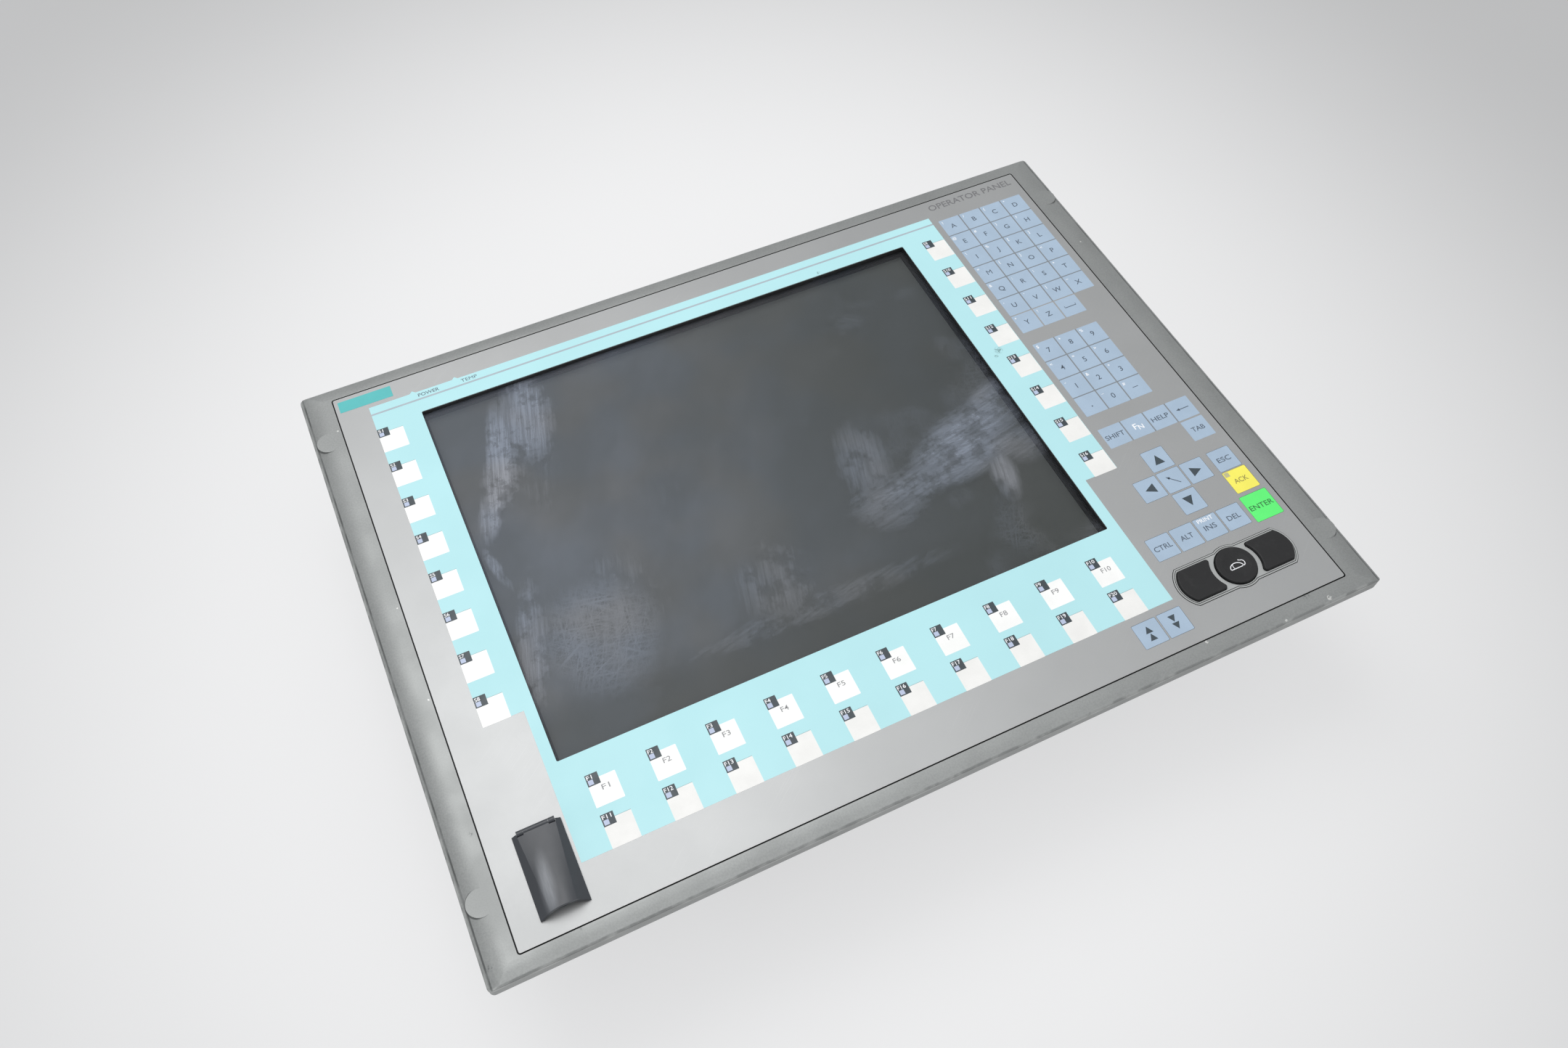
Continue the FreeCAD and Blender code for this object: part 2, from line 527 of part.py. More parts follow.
def display_carrier():
    """Plate behind the display with four openings and hooked edges round the module."""
    body = rounded(0, 0, 430.0, 312.0, CARRIER_BOTTOM, LCD_BOTTOM, 6.0)
    holes = [rounded(SCREEN_X + sx * 75, SCREEN_Y + sy * 58, 110.0, 84.0, CARRIER_BOTTOM - 1,
                     LCD_BOTTOM + 1, 6.0) for sx in (-1, 1) for sy in (-1, 1)]
    hooks = [centred(SCREEN_X + sx * (LCD_W / 2 + 0.75), SCREEN_Y + sy * 70, 1.5, 22.0, CARRIER_BOTTOM,
                     LCD_TOP - 1) for sx in (-1, 1) for sy in (-1, 1)]
    return body.cut(holes).fuse(hooks).removeSplitter()


def carrier_pillars():
    return [Part.makeCylinder(3.5, CARRIER_BOTTOM - HOUSING_FLOOR, V(x, y, HOUSING_FLOOR), ALONG_Z)
            for x in (-200.0, 0.0, 200.0) for y in (-145.0, 145.0)]


def inverter_board():
    level, y = LCD_BOTTOM + 3, -128.0
    board = centred(SCREEN_X, y, 140.0, 26.0, level, level + 1.6)
    feet = [rod(2.0, 3.0, V(SCREEN_X + side * 64, y, LCD_BOTTOM), ALONG_Z) for side in (-1, 1)]
    coils = [centred(SCREEN_X + x, y, 24.0, 14.0, level + 1.6, level + 6.5) for x in (-40.0, 40.0)]
    return [board.fuse(feet + coils).removeSplitter()]


# ---- housing and computer unit ----
CLAMP_SLOT_L, CLAMP_SLOT_W, CLAMP_Z = 12.0, 4.4, 66.0
CLAMP_X, CLAMP_Y = 150.0, 100.0
PASSAGE = (0.0, 60.0, 80.0, 40.0)      # cable passage between the two housings


def clamp_slots():
    """Obround slots for mounting clamps, two in each wall of the housing."""
    straight = CLAMP_SLOT_L - CLAMP_SLOT_W
    tools = []
    for side in (-1, 1):
        for end in (-1, 1):
            wall = side * HOUSING_H / 2
            centre = end * CLAMP_X
            tools.append(block(centre - straight / 2, centre + straight / 2, wall - 4, wall + 4,
                               CLAMP_Z - CLAMP_SLOT_W / 2, CLAMP_Z + CLAMP_SLOT_W / 2))
            tools += [rod(CLAMP_SLOT_W / 2, 8, V(centre + e * straight / 2, wall - 4, CLAMP_Z), ALONG_Y)
                      for e in (-1, 1)]
            wall = side * HOUSING_W / 2
            centre = end * CLAMP_Y
            tools.append(block(wall - 4, wall + 4, centre - straight / 2, centre + straight / 2,
                               CLAMP_Z - CLAMP_SLOT_W / 2, CLAMP_Z + CLAMP_SLOT_W / 2))
            tools += [rod(CLAMP_SLOT_W / 2, 8, V(wall - 4, centre + e * straight / 2, CLAMP_Z), ALONG_X)
                      for e in (-1, 1)]
    return tools


def operator_housing():
    """Deep tray with an outward flange under the frame."""
    body = rounded(0, 0, HOUSING_W, HOUSING_H, UNIT_T, FLANGE_TOP, 3.0)
    flange = rounded(0, 0, 2 * FLANGE_X, 2 * FLANGE_Y, FLANGE_BOTTOM, FLANGE_TOP, 3.0)
    inner_w, inner_h = HOUSING_W - 2 * SHEET_T, HOUSING_H - 2 * SHEET_T
    inner = rounded(0, 0, inner_w, inner_h, HOUSING_FLOOR, FLANGE_TOP + 1, 2.0)
    x, y, w, h = PASSAGE
    passage = rounded(x, y, w, h, UNIT_T - 1, HOUSING_FLOOR + 1, 4.0)
    screws = [countersunk_screw(px, py) for px, py in flange_screw_places()]
    return body.fuse(flange).removeSplitter().cut([inner, passage] + clamp_slots() + screws)


PORT_Y = -UNIT_H / 2                   # the connector wall
PORT_TOP = 36.0                        # underside of the main board
INLET_X, INLET_Z = -112.0, 22.0
ROCKER_X, ROCKER_W, ROCKER_H, ROCKER_SWING = -82.0, 13.0, 19.0, 9.0
LAN_X, REAR_USB_X, VIDEO_X, SERIAL_X = (-36.0, -14.0), (8.0, 24.0), 54.0, 98.0


def wall_hole(x, w, z0, z1):
    return block(x - w / 2, x + w / 2, PORT_Y - 2, PORT_Y + 4, z0, z1)


def port_cutouts():
    cuts = [wall_hole(INLET_X, 28.0, INLET_Z - 11, INLET_Z + 11)]
    cuts.append(wall_hole(ROCKER_X, ROCKER_W + 3, INLET_Z - ROCKER_H / 2 - 1.5, INLET_Z + ROCKER_H / 2 + 1.5))
    cuts += [wall_hole(x, 16.0, PORT_TOP - 13.5, PORT_TOP) for x in LAN_X]
    cuts += [wall_hole(x, 7.0, PORT_TOP - 14.4, PORT_TOP) for x in REAR_USB_X]
    cuts.append(wall_hole(VIDEO_X, 38.0, PORT_TOP - 12, PORT_TOP))
    cuts.append(wall_hole(SERIAL_X, 31.0, PORT_TOP - 12.5, PORT_TOP))
    return cuts


FAN_X, FAN_Y, FAN_Z, FAN_SIZE, FAN_T, FAN_BORE = 140.5, 70.0, 24.2, 40.0, 16.0, 18.6


def grille_holes():
    """Round air holes in the side wall over the fan, on rings about its axis."""
    holes = []
    for ring_no in range(1, 4):
        count = 6 * ring_no
        for i in range(count):
            a = 2 * math.pi * i / count
            y = FAN_Y + ring_no * 5.2 * math.cos(a)
            z = FAN_Z + ring_no * 5.2 * math.sin(a)
            holes.append(rod(1.8, 6, V(UNIT_W / 2 - 4, y, z), ALONG_X))
    return holes + [rod(1.8, 6, V(UNIT_W / 2 - 4, FAN_Y, FAN_Z), ALONG_X)]


def computer_chassis():
    body = rounded(0, 0, UNIT_W, UNIT_H, COVER_T, UNIT_T, 2.0)
    inner = centred(0, 0, UNIT_W - 2 * SHEET_T, UNIT_H - 2 * SHEET_T, COVER_T - 1, UNIT_T - SHEET_T)
    x, y, w, h = PASSAGE
    passage = rounded(x, y, w, h, UNIT_T - 3, UNIT_T + 1, 4.0)
    inlet_vents = [block(-UNIT_W / 2 - 1, -UNIT_W / 2 + 3, y0, y0 + 3, 12, 34)
                   for y0 in [60.0 + 7 * i for i in range(8)]]
    return body.cut([inner, passage] + port_cutouts() + grille_holes() + inlet_vents)


def cover_screw_places():
    return [(sx * (UNIT_W / 2 - 9), y) for sx in (-1, 1) for y in (-UNIT_H / 2 + 9, 0.0, UNIT_H / 2 - 9)]


def rear_cover():
    """Flat cover with an upstand inside the chassis walls and rows of vent slots."""
    body = rounded(0, 0, UNIT_W, UNIT_H, 0, COVER_T, 2.0)
    lip_w, lip_h = UNIT_W - 2 * SHEET_T, UNIT_H - 2 * SHEET_T
    lip = ring(0, 0, lip_w, lip_h, lip_w - 2, lip_h - 2, COVER_T, COVER_T + 2)
    bosses = [rod(3.5, 6, V(x, y, COVER_T), ALONG_Z) for x, y in cover_screw_places()]
    vents = [slot(x, y, 34.0, 4.0, -1, COVER_T + 1)
             for x in (20.0, 64.0, 108.0) for y in [-84.0 + 9 * i for i in range(7)]]
    holes = [rod(1.5, 12, V(x, y, -1), ALONG_Z) for x, y in cover_screw_places()]
    sinks = [Part.makeCone(2.8, 1.5, 1.3, V(x, y, 0), ALONG_Z) for x, y in cover_screw_places()]
    return body.fuse([lip] + bosses).removeSplitter().cut(vents + holes + sinks)


def cover_screw(x, y):
    head = Part.makeCone(2.8, 1.5, 1.3, V(x, y, 0.0), ALONG_Z)
    shank = rod(1.5, 6.0, V(x, y, 1.3), ALONG_Z)
    cross = [centred(x, y, 2.6, 0.6, -1, 0.8), centred(x, y, 0.6, 2.6, -1, 0.8)]
    return head.fuse(shank).removeSplitter().cut(cross)


BOARD_X0, BOARD_X1, BOARD_Y0, BOARD_Y1 = -60.0, 136.0, -130.0, 8.0


def mainboard():
    """Main board with its processor socket, slots and standoffs, components facing the rear cover."""
    level = PORT_TOP
    board = block(BOARD_X0, BOARD_X1, BOARD_Y0, BOARD_Y1, level, level + 1.6)
    posts = [rod(3.0, UNIT_ROOF - level - 1.6, V(x, y, level + 1.6), ALONG_Z)
             for x in (BOARD_X0 + 6, BOARD_X1 - 6) for y in (BOARD_Y0 + 25, BOARD_Y1 - 6)]
    socket = centred(70.0, -60.0, 46.0, 46.0, level - 5, level)
    chipset = centred(8.0, -70.0, 30.0, 30.0, level - 4, level)
    slots = [centred(10.0, y, 133.0, 7.0, level - 9, level) for y in (-18.0, -6.0)]
    return board.fuse(posts + [socket, chipset] + slots).removeSplitter()


def heatsink():
    base = centred(70.0, -60.0, 64.0, 64.0, PORT_TOP - 9, PORT_TOP - 5)
    fins = [centred(70.0 + x, -60.0, 1.6, 64.0, PORT_TOP - 28, PORT_TOP - 9)
            for x in [-31.0 + 6.2 * i for i in range(11)]]
    return base.fuse(fins).removeSplitter()


def fan_frame():
    """Square frame on the side wall, round duct, hub plate on three struts."""
    x0 = FAN_X - FAN_T / 2
    body = Part.makeBox(FAN_T, FAN_SIZE, FAN_SIZE, V(x0, FAN_Y - FAN_SIZE / 2, FAN_Z - FAN_SIZE / 2))
    body = body.cut(rod(FAN_BORE, FAN_T + 2, V(x0 - 1, FAN_Y, FAN_Z), ALONG_X))
    hub = rod(7.0, 2.0, V(x0, FAN_Y, FAN_Z), ALONG_X)
    strut = Part.makeBox(1.6, 2.0, FAN_BORE + 0.5, V(x0, FAN_Y - 1.0, FAN_Z))
    struts = [strut.rotated(V(0, FAN_Y, FAN_Z), ALONG_X, 120 * i + 20) for i in range(3)]
    shaft = rod(1.0, 9.0, V(x0 + 1, FAN_Y, FAN_Z), ALONG_X)
    return body.fuse([hub, shaft] + struts).removeSplitter()


def fan_rotor():
    """Hub cup with seven pitched blades on the frame's shaft."""
    x0 = FAN_X - FAN_T / 2 + 2.5
    hub = rod(7.5, 11.0, V(x0, FAN_Y, FAN_Z), ALONG_X)
    blades = []
    for i in range(7):
        blade = Part.makeBox(1.0, 8.5, 11.2, V(FAN_X - 0.3, FAN_Y - 4.25, FAN_Z + 6.8))
        blade.rotate(V(FAN_X, FAN_Y, FAN_Z), ALONG_Z, 38)
        blade.rotate(V(FAN_X, FAN_Y, FAN_Z), ALONG_X, 360.0 / 7 * i)
        blades.append(blade)
    body = hub.fuse(blades).removeSplitter()
    sweep = rod(FAN_BORE - 0.7, 11.0, V(x0, FAN_Y, FAN_Z), ALONG_X)
    return body.common(sweep).cut(rod(1.0 + RUNNING, 9.0, V(x0 - 0.5, FAN_Y, FAN_Z), ALONG_X))


def power_supply():
    """Vented steel box and, inside it, its own board with two capacitors and a transformer."""
    body = block(-145.0, -72.0, -108.0, 44.0, 9.0, 42.0)
    inner = block(-144.0, -73.0, -107.0, 43.0, 10.0, 41.0)
    vents = [block(-146.0, -143.0, y, y + 3, 14, 34) for y in [-96.0 + 8 * i for i in range(17)]]
    board = block(-144.0, -73.0, -107.0, 43.0, 38.0, 40.0)
    parts = [rod(9.0, 24.0, V(x, -88.0, 14.0), ALONG_Z) for x in (-125.0, -100.0)]
    parts.append(block(-128.0, -92.0, -50.0, -16.0, 14.0, 38.0))
    inside = board.fuse(parts).removeSplitter()
    feet = [rod(3.0, UNIT_ROOF - 42.0, V(x, y, 42.0), ALONG_Z)
            for x in (-138.0, -79.0) for y in (-100.0, 30.0)]
    return [body.cut([inner] + vents).fuse(feet).removeSplitter(), inside]


def hard_disk():
    body = rounded(20.0, 76.0, 146.0, 101.0, 9.0, 33.0, 3.0)
    lid = rounded(30.0, 76.0, 110.0, 92.0, 33.0, 34.5, 6.0)
    return body.fuse(lid).removeSplitter()


def disk_bracket():
    """Two rails with feet to the chassis roof, carrying the drive by its sides."""
    rails = []
    for side in (-1, 1):
        y = 76.0 + side * 51.3
        rail = block(-50.0, 90.0, y - 0.8, y + 0.8, 9.0, UNIT_ROOF)
        foot_far = y + side * 6.0
        foot = block(-50.0, 90.0, min(y, foot_far), max(y, foot_far), UNIT_ROOF - 1.5, UNIT_ROOF)
        rails.append(rail.fuse(foot).removeSplitter())
    return rails


def power_inlet():
    """Appliance inlet with its pins, and the collar round the rocker beside it."""
    y0 = PORT_Y - 0.5
    body = block(INLET_X - 13.9, INLET_X + 13.9, y0, PORT_Y + 24, INLET_Z - 10.9, INLET_Z + 10.9)
    cavity = block(INLET_X - 12.1, INLET_X + 12.1, y0 - 1, PORT_Y + 16, INLET_Z - 8.0, INLET_Z + 8.0)
    pins = [block(INLET_X + x - 1, INLET_X + x + 1, PORT_Y + 2, PORT_Y + 17, INLET_Z + z - 2, INLET_Z + z + 2)
            for x, z in ((-7.0, 2.0), (7.0, 2.0), (0.0, 4.0))]
    x0, x1 = ROCKER_X - ROCKER_W / 2 - 1.4, ROCKER_X + ROCKER_W / 2 + 1.4
    z0, z1 = INLET_Z - ROCKER_H / 2 - 1.4, INLET_Z + ROCKER_H / 2 + 1.4
    collar = block(x0, x1, y0, PORT_Y + 15, z0, z1)
    pocket = block(x0 + 1, x1 - 1, y0 - 1, PORT_Y + 13, z0 + 1, z1 - 1)
    collar = collar.cut(pocket)
    trunnion = rod(1.2 + RUNNING, 30, V(ROCKER_X - 15, ROCKER_AXIS_Y, INLET_Z), ALONG_X)
    return [body.cut(cavity).fuse(pins).removeSplitter(), collar.cut(trunnion)]


ROCKER_AXIS_Y = PORT_Y + 4.0


def power_rocker():
    """Rocker with a shallow V face, pivoting on stub shafts in its collar."""
    half = ROCKER_H / 2 - 0.8
    face, back = PORT_Y - 1.6, PORT_Y + 6.5
    points = [V(0, face, half - 0.4), V(0, PORT_Y + 0.8, 0), V(0, face, -half + 0.4),
              V(0, back, -half + 3.5), V(0, back, half - 3.5)]
    outline = Part.Face(Part.makePolygon(points + points[:1]))
    body = outline.extrude(V(ROCKER_W, 0, 0))
    body.translate(V(ROCKER_X - ROCKER_W / 2, 0, INLET_Z))
    shafts = rod(1.2, ROCKER_W + 2.6, V(ROCKER_X - ROCKER_W / 2 - 1.3, ROCKER_AXIS_Y, INLET_Z), ALONG_X)
    body = body.fuse(shafts).removeSplitter()
    body.rotate(V(ROCKER_X, ROCKER_AXIS_Y, INLET_Z), ALONG_X, ROCKER_SWING)
    return body


def lan_sockets():
    sockets = []
    for x in LAN_X:
        body = block(x - 7.9, x + 7.9, PORT_Y, PORT_Y + 21, PORT_TOP - 13.4, PORT_TOP)
        cavity = block(x - 5.9, x + 5.9, PORT_Y - 1, PORT_Y + 13, PORT_TOP - 11.0, PORT_TOP - 3.0)
        latch = block(x - 2.0, x + 2.0, PORT_Y - 1, PORT_Y + 5, PORT_TOP - 12.4, PORT_TOP - 10.5)
        sockets.append(body.cut([cavity, latch]))
    return sockets


def usb_sockets_rear():
    sockets = []
    for x in REAR_USB_X:
        socket = usb_shell(14.4, 6.8, 15.0)
        socket.rotate(V(0, 0, 0), ALONG_Z, 90)
        socket.rotate(V(0, 0, 0), ALONG_X, 90)
        socket.translate(V(x, PORT_Y, PORT_TOP - 7.2))
        sockets.append(socket)
    return sockets


def trapezoid_socket(x, wide, narrow, height, flange_w):
    """Screw-lock connector: flange, D-shaped nose and two hex posts."""
    z = PORT_TOP - 6.2
    body = block(x - flange_w / 2, x + flange_w / 2, PORT_Y + 0.5, PORT_Y + 12, z - 5.8, PORT_TOP)
    points = [V(x - narrow / 2, PORT_Y - 5, z - height / 2), V(x + narrow / 2, PORT_Y - 5, z - height / 2),
              V(x + wide / 2, PORT_Y - 5, z + height / 2), V(x - wide / 2, PORT_Y - 5, z + height / 2)]
    nose = Part.Face(Part.makePolygon(points + points[:1])).extrude(V(0, 6, 0))
    posts = [rod(2.4, 6, V(x + side * (flange_w / 2 - 3), PORT_Y - 4.5, z), ALONG_Y) for side in (-1, 1)]
    return body.fuse([nose] + posts).removeSplitter()


def contact_holes(x, count, rows, pitch):
    """Blind holes of a female connector, in rows about its middle."""
    x0 = x - (count - 1) / 2 * pitch
    z0 = PORT_TOP - 6.2 - (rows - 1) / 2 * pitch
    return [rod(0.55, 4, V(x0 + i * pitch, PORT_Y - 6, z0 + r * pitch), ALONG_Y)
            for i in range(count) for r in range(rows)]


def video_socket():
    return trapezoid_socket(VIDEO_X, 24.0, 22.6, 8.0, 37.6).cut(contact_holes(VIDEO_X, 8, 3, 2.2))


def serial_socket():
    return trapezoid_socket(SERIAL_X, 16.9, 14.9, 8.0, 30.8).cut(contact_holes(SERIAL_X, 5, 2, 2.7))


# ---- write every sub-part ----
side_places, row_places = label_places()
save("front_frame", front_frame())
save("keypad_foil", keypad_foil())
save("front_plate", front_plate())
save("mounting_gasket", mounting_gasket())
save("key_domes", *key_domes())
save("keypad_board", *keypad_board())
save("side_label_strips", *label_strips(side_places))
save("row_label_strips", *label_strips(row_places))
for key_name, (key_x, key_y, key_w, key_h) in MOVING_KEYS.items():
    save(key_name, key_cap(key_x, key_y, key_w, key_h))
save("pointer_bezel", pointer_bezel())
save("stick_gimbal", stick_gimbal())
save("pointer_stick", pointer_stick())
save("pointer_button_left", pointer_button(-1))
save("pointer_button_right", pointer_button(1))
save("usb_cover", usb_cover())
save("usb_hinge_pin", rod(PIN_R, HINGE_W, V(USB_X - HINGE_W / 2, HINGE_Y, HINGE_Z), ALONG_X))
save("usb_port_housing", usb_port_housing())
save("usb_socket_front", usb_socket_front())
save("power_led", rod(LIGHT_R, PLATE_TOP - BOARD_TOP, V(LIGHT_X[0], LIGHT_Y, BOARD_TOP), ALONG_Z))
save("temp_led", rod(LIGHT_R, PLATE_TOP - BOARD_TOP, V(LIGHT_X[1], LIGHT_Y, BOARD_TOP), ALONG_Z))
save("display_pane", display_pane())
save("pane_gasket", pane_gasket())
save("lcd_bezel", lcd_bezel())
save("lcd_glass", lcd_glass())
save("light_guide", light_guide())
save("backlight_lamps", *backlight_lamps())
save("inverter_board", *inverter_board())
save("display_carrier", display_carrier())
save("carrier_pillars", *carrier_pillars())
save("operator_housing", operator_housing())
save("housing_screws", *[countersunk_screw(x, y) for x, y in flange_screw_places()])
save("computer_chassis", computer_chassis())
save("rear_cover", rear_cover())
save("cover_screws", *[cover_screw(x, y) for x, y in cover_screw_places()])
save("mainboard", mainboard())
save("heatsink", heatsink())
save("fan_frame", fan_frame())
save("fan_rotor", fan_rotor())
save("power_supply", *power_supply())
save("hard_disk", hard_disk())
save("disk_bracket", *disk_bracket())
save("power_inlet", *power_inlet())
save("power_rocker", power_rocker())
save("lan_sockets", *lan_sockets())
save("usb_sockets_rear", *usb_sockets_rear())
save("video_socket", video_socket())
save("serial_socket", serial_socket())
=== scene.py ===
import json
import math

import bmesh
import bpy
from mathutils import Matrix, Vector


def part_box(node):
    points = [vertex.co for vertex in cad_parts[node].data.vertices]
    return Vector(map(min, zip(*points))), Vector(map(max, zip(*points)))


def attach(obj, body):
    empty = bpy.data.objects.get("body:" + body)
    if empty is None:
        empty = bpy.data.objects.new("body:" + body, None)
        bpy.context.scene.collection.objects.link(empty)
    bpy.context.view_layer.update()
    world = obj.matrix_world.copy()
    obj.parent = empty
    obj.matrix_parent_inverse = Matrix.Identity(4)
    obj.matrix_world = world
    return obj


# Looks of the operator panel: printed foil, key legends, smudged pane, worn paint and bare metal behind.
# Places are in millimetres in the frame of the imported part, and MM turns them into metres.

MM = 0.001
FAR = 10000.0          # a reach, in mm, beyond the whole part
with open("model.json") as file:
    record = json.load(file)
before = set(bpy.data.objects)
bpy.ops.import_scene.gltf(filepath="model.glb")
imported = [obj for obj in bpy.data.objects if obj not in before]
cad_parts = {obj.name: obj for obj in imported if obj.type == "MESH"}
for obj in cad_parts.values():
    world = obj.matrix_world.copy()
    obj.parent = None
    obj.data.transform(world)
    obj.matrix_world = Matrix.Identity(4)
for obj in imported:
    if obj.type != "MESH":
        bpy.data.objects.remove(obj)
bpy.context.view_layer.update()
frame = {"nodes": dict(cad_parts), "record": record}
scene = bpy.context.scene
nodes = frame["nodes"]


def top_of(node):
    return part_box(node)[1].z / MM


def middle_of(node):
    """Centre and size of a node seen from the front, in mm."""
    low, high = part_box(node)
    return (low.x + high.x) / 2 / MM, (low.y + high.y) / 2 / MM, (high.x - low.x) / MM, (high.y - low.y) / MM


FACE = top_of("keypad_foil")

# ---- printed layout ----
KEY, KEY_PITCH, ROW_PITCH = 14.2, 15.1, 14.95
BLOCK_LEFT, ALPHA_TOP, DIGIT_TOP, SHIFT_Y, TAB_Y = 166.6, 142.2, 28.3, -41.2, -56.5
SIDE_KEYS, SIDE_PITCH, SIDE_TOP, SIDE_LEFT_X, SIDE_RIGHT_X = 8, 25.77, 127.0, -199.4, 148.0
ROW_KEYS, ROW_KEY_PITCH, ROW_LEFT, ROW_UPPER_Y, ROW_LOWER_Y = 10, 30.75, -163.8, -114.0, -135.0
SCREEN = (-25.8, 23.8, 308.6, 231.0)
FIELD_LEFT, FIELD_RIGHT, FIELD_TOP, FIELD_STEP_Y = -206.5, 155.3, 154.4, -60.2
LOWER_LEFT, LOWER_RIGHT, FIELD_BOTTOM = -185.9, 134.9, -142.0
TAG_W, TAG_H, TAG_ABOVE = 6.2, 6.1, 2.9       # dark tag of a softkey and how far it stands above its window
LAMP, LAMP_IN = 2.5, 0.6                      # lamp square in the tag and its inset
JOINT_W = 0.5                                 # shadow line printed between neighbouring key zones
SIGN_CAP, LETTER_CAP, WORD_CAP = 2.0, 3.5, 3.0           # capital heights of the key legends

# ---- places on the frame ----
FOIL_HALF_W, FOIL_HALF_H = 224.0, 168.0
PAD_X, PAD_Y, PAD_R = 232.75, 139.8, 6.6      # blank pads of the frame
ARRIS_Z = 96.6                                # where the side borders' rounded rims meet their walls
REFLECTION_LINE_Z = 98.15                                # height of a painted dark reflection line along the frame's rounded rim

# Heights of the print layers above the foil, in mm.
FIELD_T, WINDOW_T, TAG_T, INK_T = 0.03, 0.05, 0.07, 0.09

CAP_SHARE = 0.682      # height of a capital in the built-in font, as a share of its size
THICKENING = 0.011     # how far the font's outlines are spread, as a share of a capital's height
WELD = 2e-6            # points of a print closer than this, in metres, are one

# ---- camera, in metres and degrees ----
LENS = 27.6035
CAMERA_PLACE = (-0.173605, -0.329577, 0.638755)
CAMERA_TURN = (32.7394, -0.0643, -25.0944)


def srgb(r, g, b):
    """Linear colour of an sRGB triple given from 0 to 255."""
    def linear(c):
        c = c / 255
        return c / 12.92 if c <= 0.04045 else ((c + 0.055) / 1.055) ** 2.4
    return (linear(r), linear(g), linear(b), 1.0)


# ---- node materials ----
class Shader:
    """A node material under construction, in the part's own millimetres."""

    def __init__(self, name):
        self.material = bpy.data.materials.new(name)
        self.material.use_nodes = True
        self.tree = self.material.node_tree
        self.bsdf = self.tree.nodes["Principled BSDF"]
        place = self.add("ShaderNodeTexCoord").outputs["Object"]
        self.mm = self.vector("SCALE", place, scale=1 / MM)

    def add(self, kind, **settings):
        node = self.tree.nodes.new(kind)
        for key, value in settings.items():
            setattr(node, key, value)
        return node

    def feed(self, socket, value):
        if isinstance(value, bpy.types.NodeSocket):
            self.tree.links.new(value, socket)
        else:
            socket.default_value = value

    def math(self, operation, a, b=0.0):
        node = self.add("ShaderNodeMath", operation=operation)
        self.feed(node.inputs[0], a)
        self.feed(node.inputs[1], b)
        return node.outputs[0]

    def vector(self, operation, a, scale=1.0):
        node = self.add("ShaderNodeVectorMath", operation=operation)
        self.feed(node.inputs[0], a)
        if operation == "SCALE":
            node.inputs["Scale"].default_value = scale
            return node.outputs["Vector"]
        return node.outputs["Value"]

    def axis(self, letter):
        """One coordinate of the surface point, in mm."""
        if not hasattr(self, "separate"):
            self.separate = self.add("ShaderNodeSeparateXYZ")
            self.feed(self.separate.inputs[0], self.mm)
        return self.separate.outputs[letter]

    def noise(self, size, detail=2.0, rough=0.5, turn=0.0, stretch=(1, 1, 1), shift=(0, 0, 0)):
        """Cloudy noise with features of about size mm, stretched along axes turned by turn degrees."""
        mapping = self.add("ShaderNodeMapping", vector_type="TEXTURE")
        self.feed(mapping.inputs["Vector"], self.mm)
        mapping.inputs["Location"].default_value = shift
        mapping.inputs["Rotation"].default_value = (0, 0, math.radians(turn))
        mapping.inputs["Scale"].default_value = stretch
        node = self.add("ShaderNodeTexNoise")
        self.feed(node.inputs["Vector"], mapping.outputs[0])
        node.inputs["Scale"].default_value = 1 / size
        node.inputs["Detail"].default_value = detail
        node.inputs["Roughness"].default_value = rough
        return node.outputs["Fac"]

    def cells(self, size, output="Distance"):
        """Cells of about size mm: the distance from each cell's middle, or a colour for each cell."""
        node = self.add("ShaderNodeTexVoronoi")
        self.feed(node.inputs["Vector"], self.mm)
        node.inputs["Scale"].default_value = 1 / size
        return node.outputs[output]

    def spread(self, value, low, high, to_low=0.0, to_high=1.0):
        """Maps low to high onto to_low to to_high, held at both ends."""
        node = self.add("ShaderNodeMapRange", interpolation_type="SMOOTHSTEP")
        self.feed(node.inputs["Value"], value)
        node.inputs["From Min"].default_value = low
        node.inputs["From Max"].default_value = high
        node.inputs["To Min"].default_value = to_low
        node.inputs["To Max"].default_value = to_high
        return node.outputs[0]

    def mix(self, factor, a, b):
        """Colour a where the factor is 0, colour b where it is 1."""
        node = self.add("ShaderNodeMix", data_type="RGBA")
        self.feed(node.inputs["Factor"], factor)
        self.feed(node.inputs[6], a)
        self.feed(node.inputs[7], b)
        return node.outputs[2]

    def times(self, colour, factor):
        """A colour made lighter or darker by a number."""
        node = self.add("ShaderNodeVectorMath", operation="MULTIPLY")
        self.feed(node.inputs[0], colour if isinstance(colour, bpy.types.NodeSocket) else colour[:3])
        self.feed(node.inputs[1], factor)
        return node.outputs[0]

    def spot(self, x, y, radius, soft=0.5, stretch=(1, 1), turn=0.0):
        """1 inside an ellipse about a point of the face, 0 outside, with a soft edge."""
        mapping = self.add("ShaderNodeMapping", vector_type="TEXTURE")
        self.feed(mapping.inputs["Vector"], self.mm)
        mapping.inputs["Location"].default_value = (x, y, FACE)
        mapping.inputs["Rotation"].default_value = (0, 0, math.radians(turn))
        mapping.inputs["Scale"].default_value = (radius * stretch[0], radius * stretch[1], FAR)
        length = self.vector("LENGTH", mapping.outputs[0])
        return self.spread(length, 1 + soft, 1 - soft)

    def band(self, value, middle, half):
        """1 where a value is within half of the middle, with a soft edge."""
        off = self.math("ABSOLUTE", self.math("SUBTRACT", value, middle))
        return self.spread(off, half * 1.3, half * 0.7)

    def most(self, values):
        """The largest of several values."""
        result = values[0]
        for value in values[1:]:
            result = self.math("MAXIMUM", result, value)
        return result

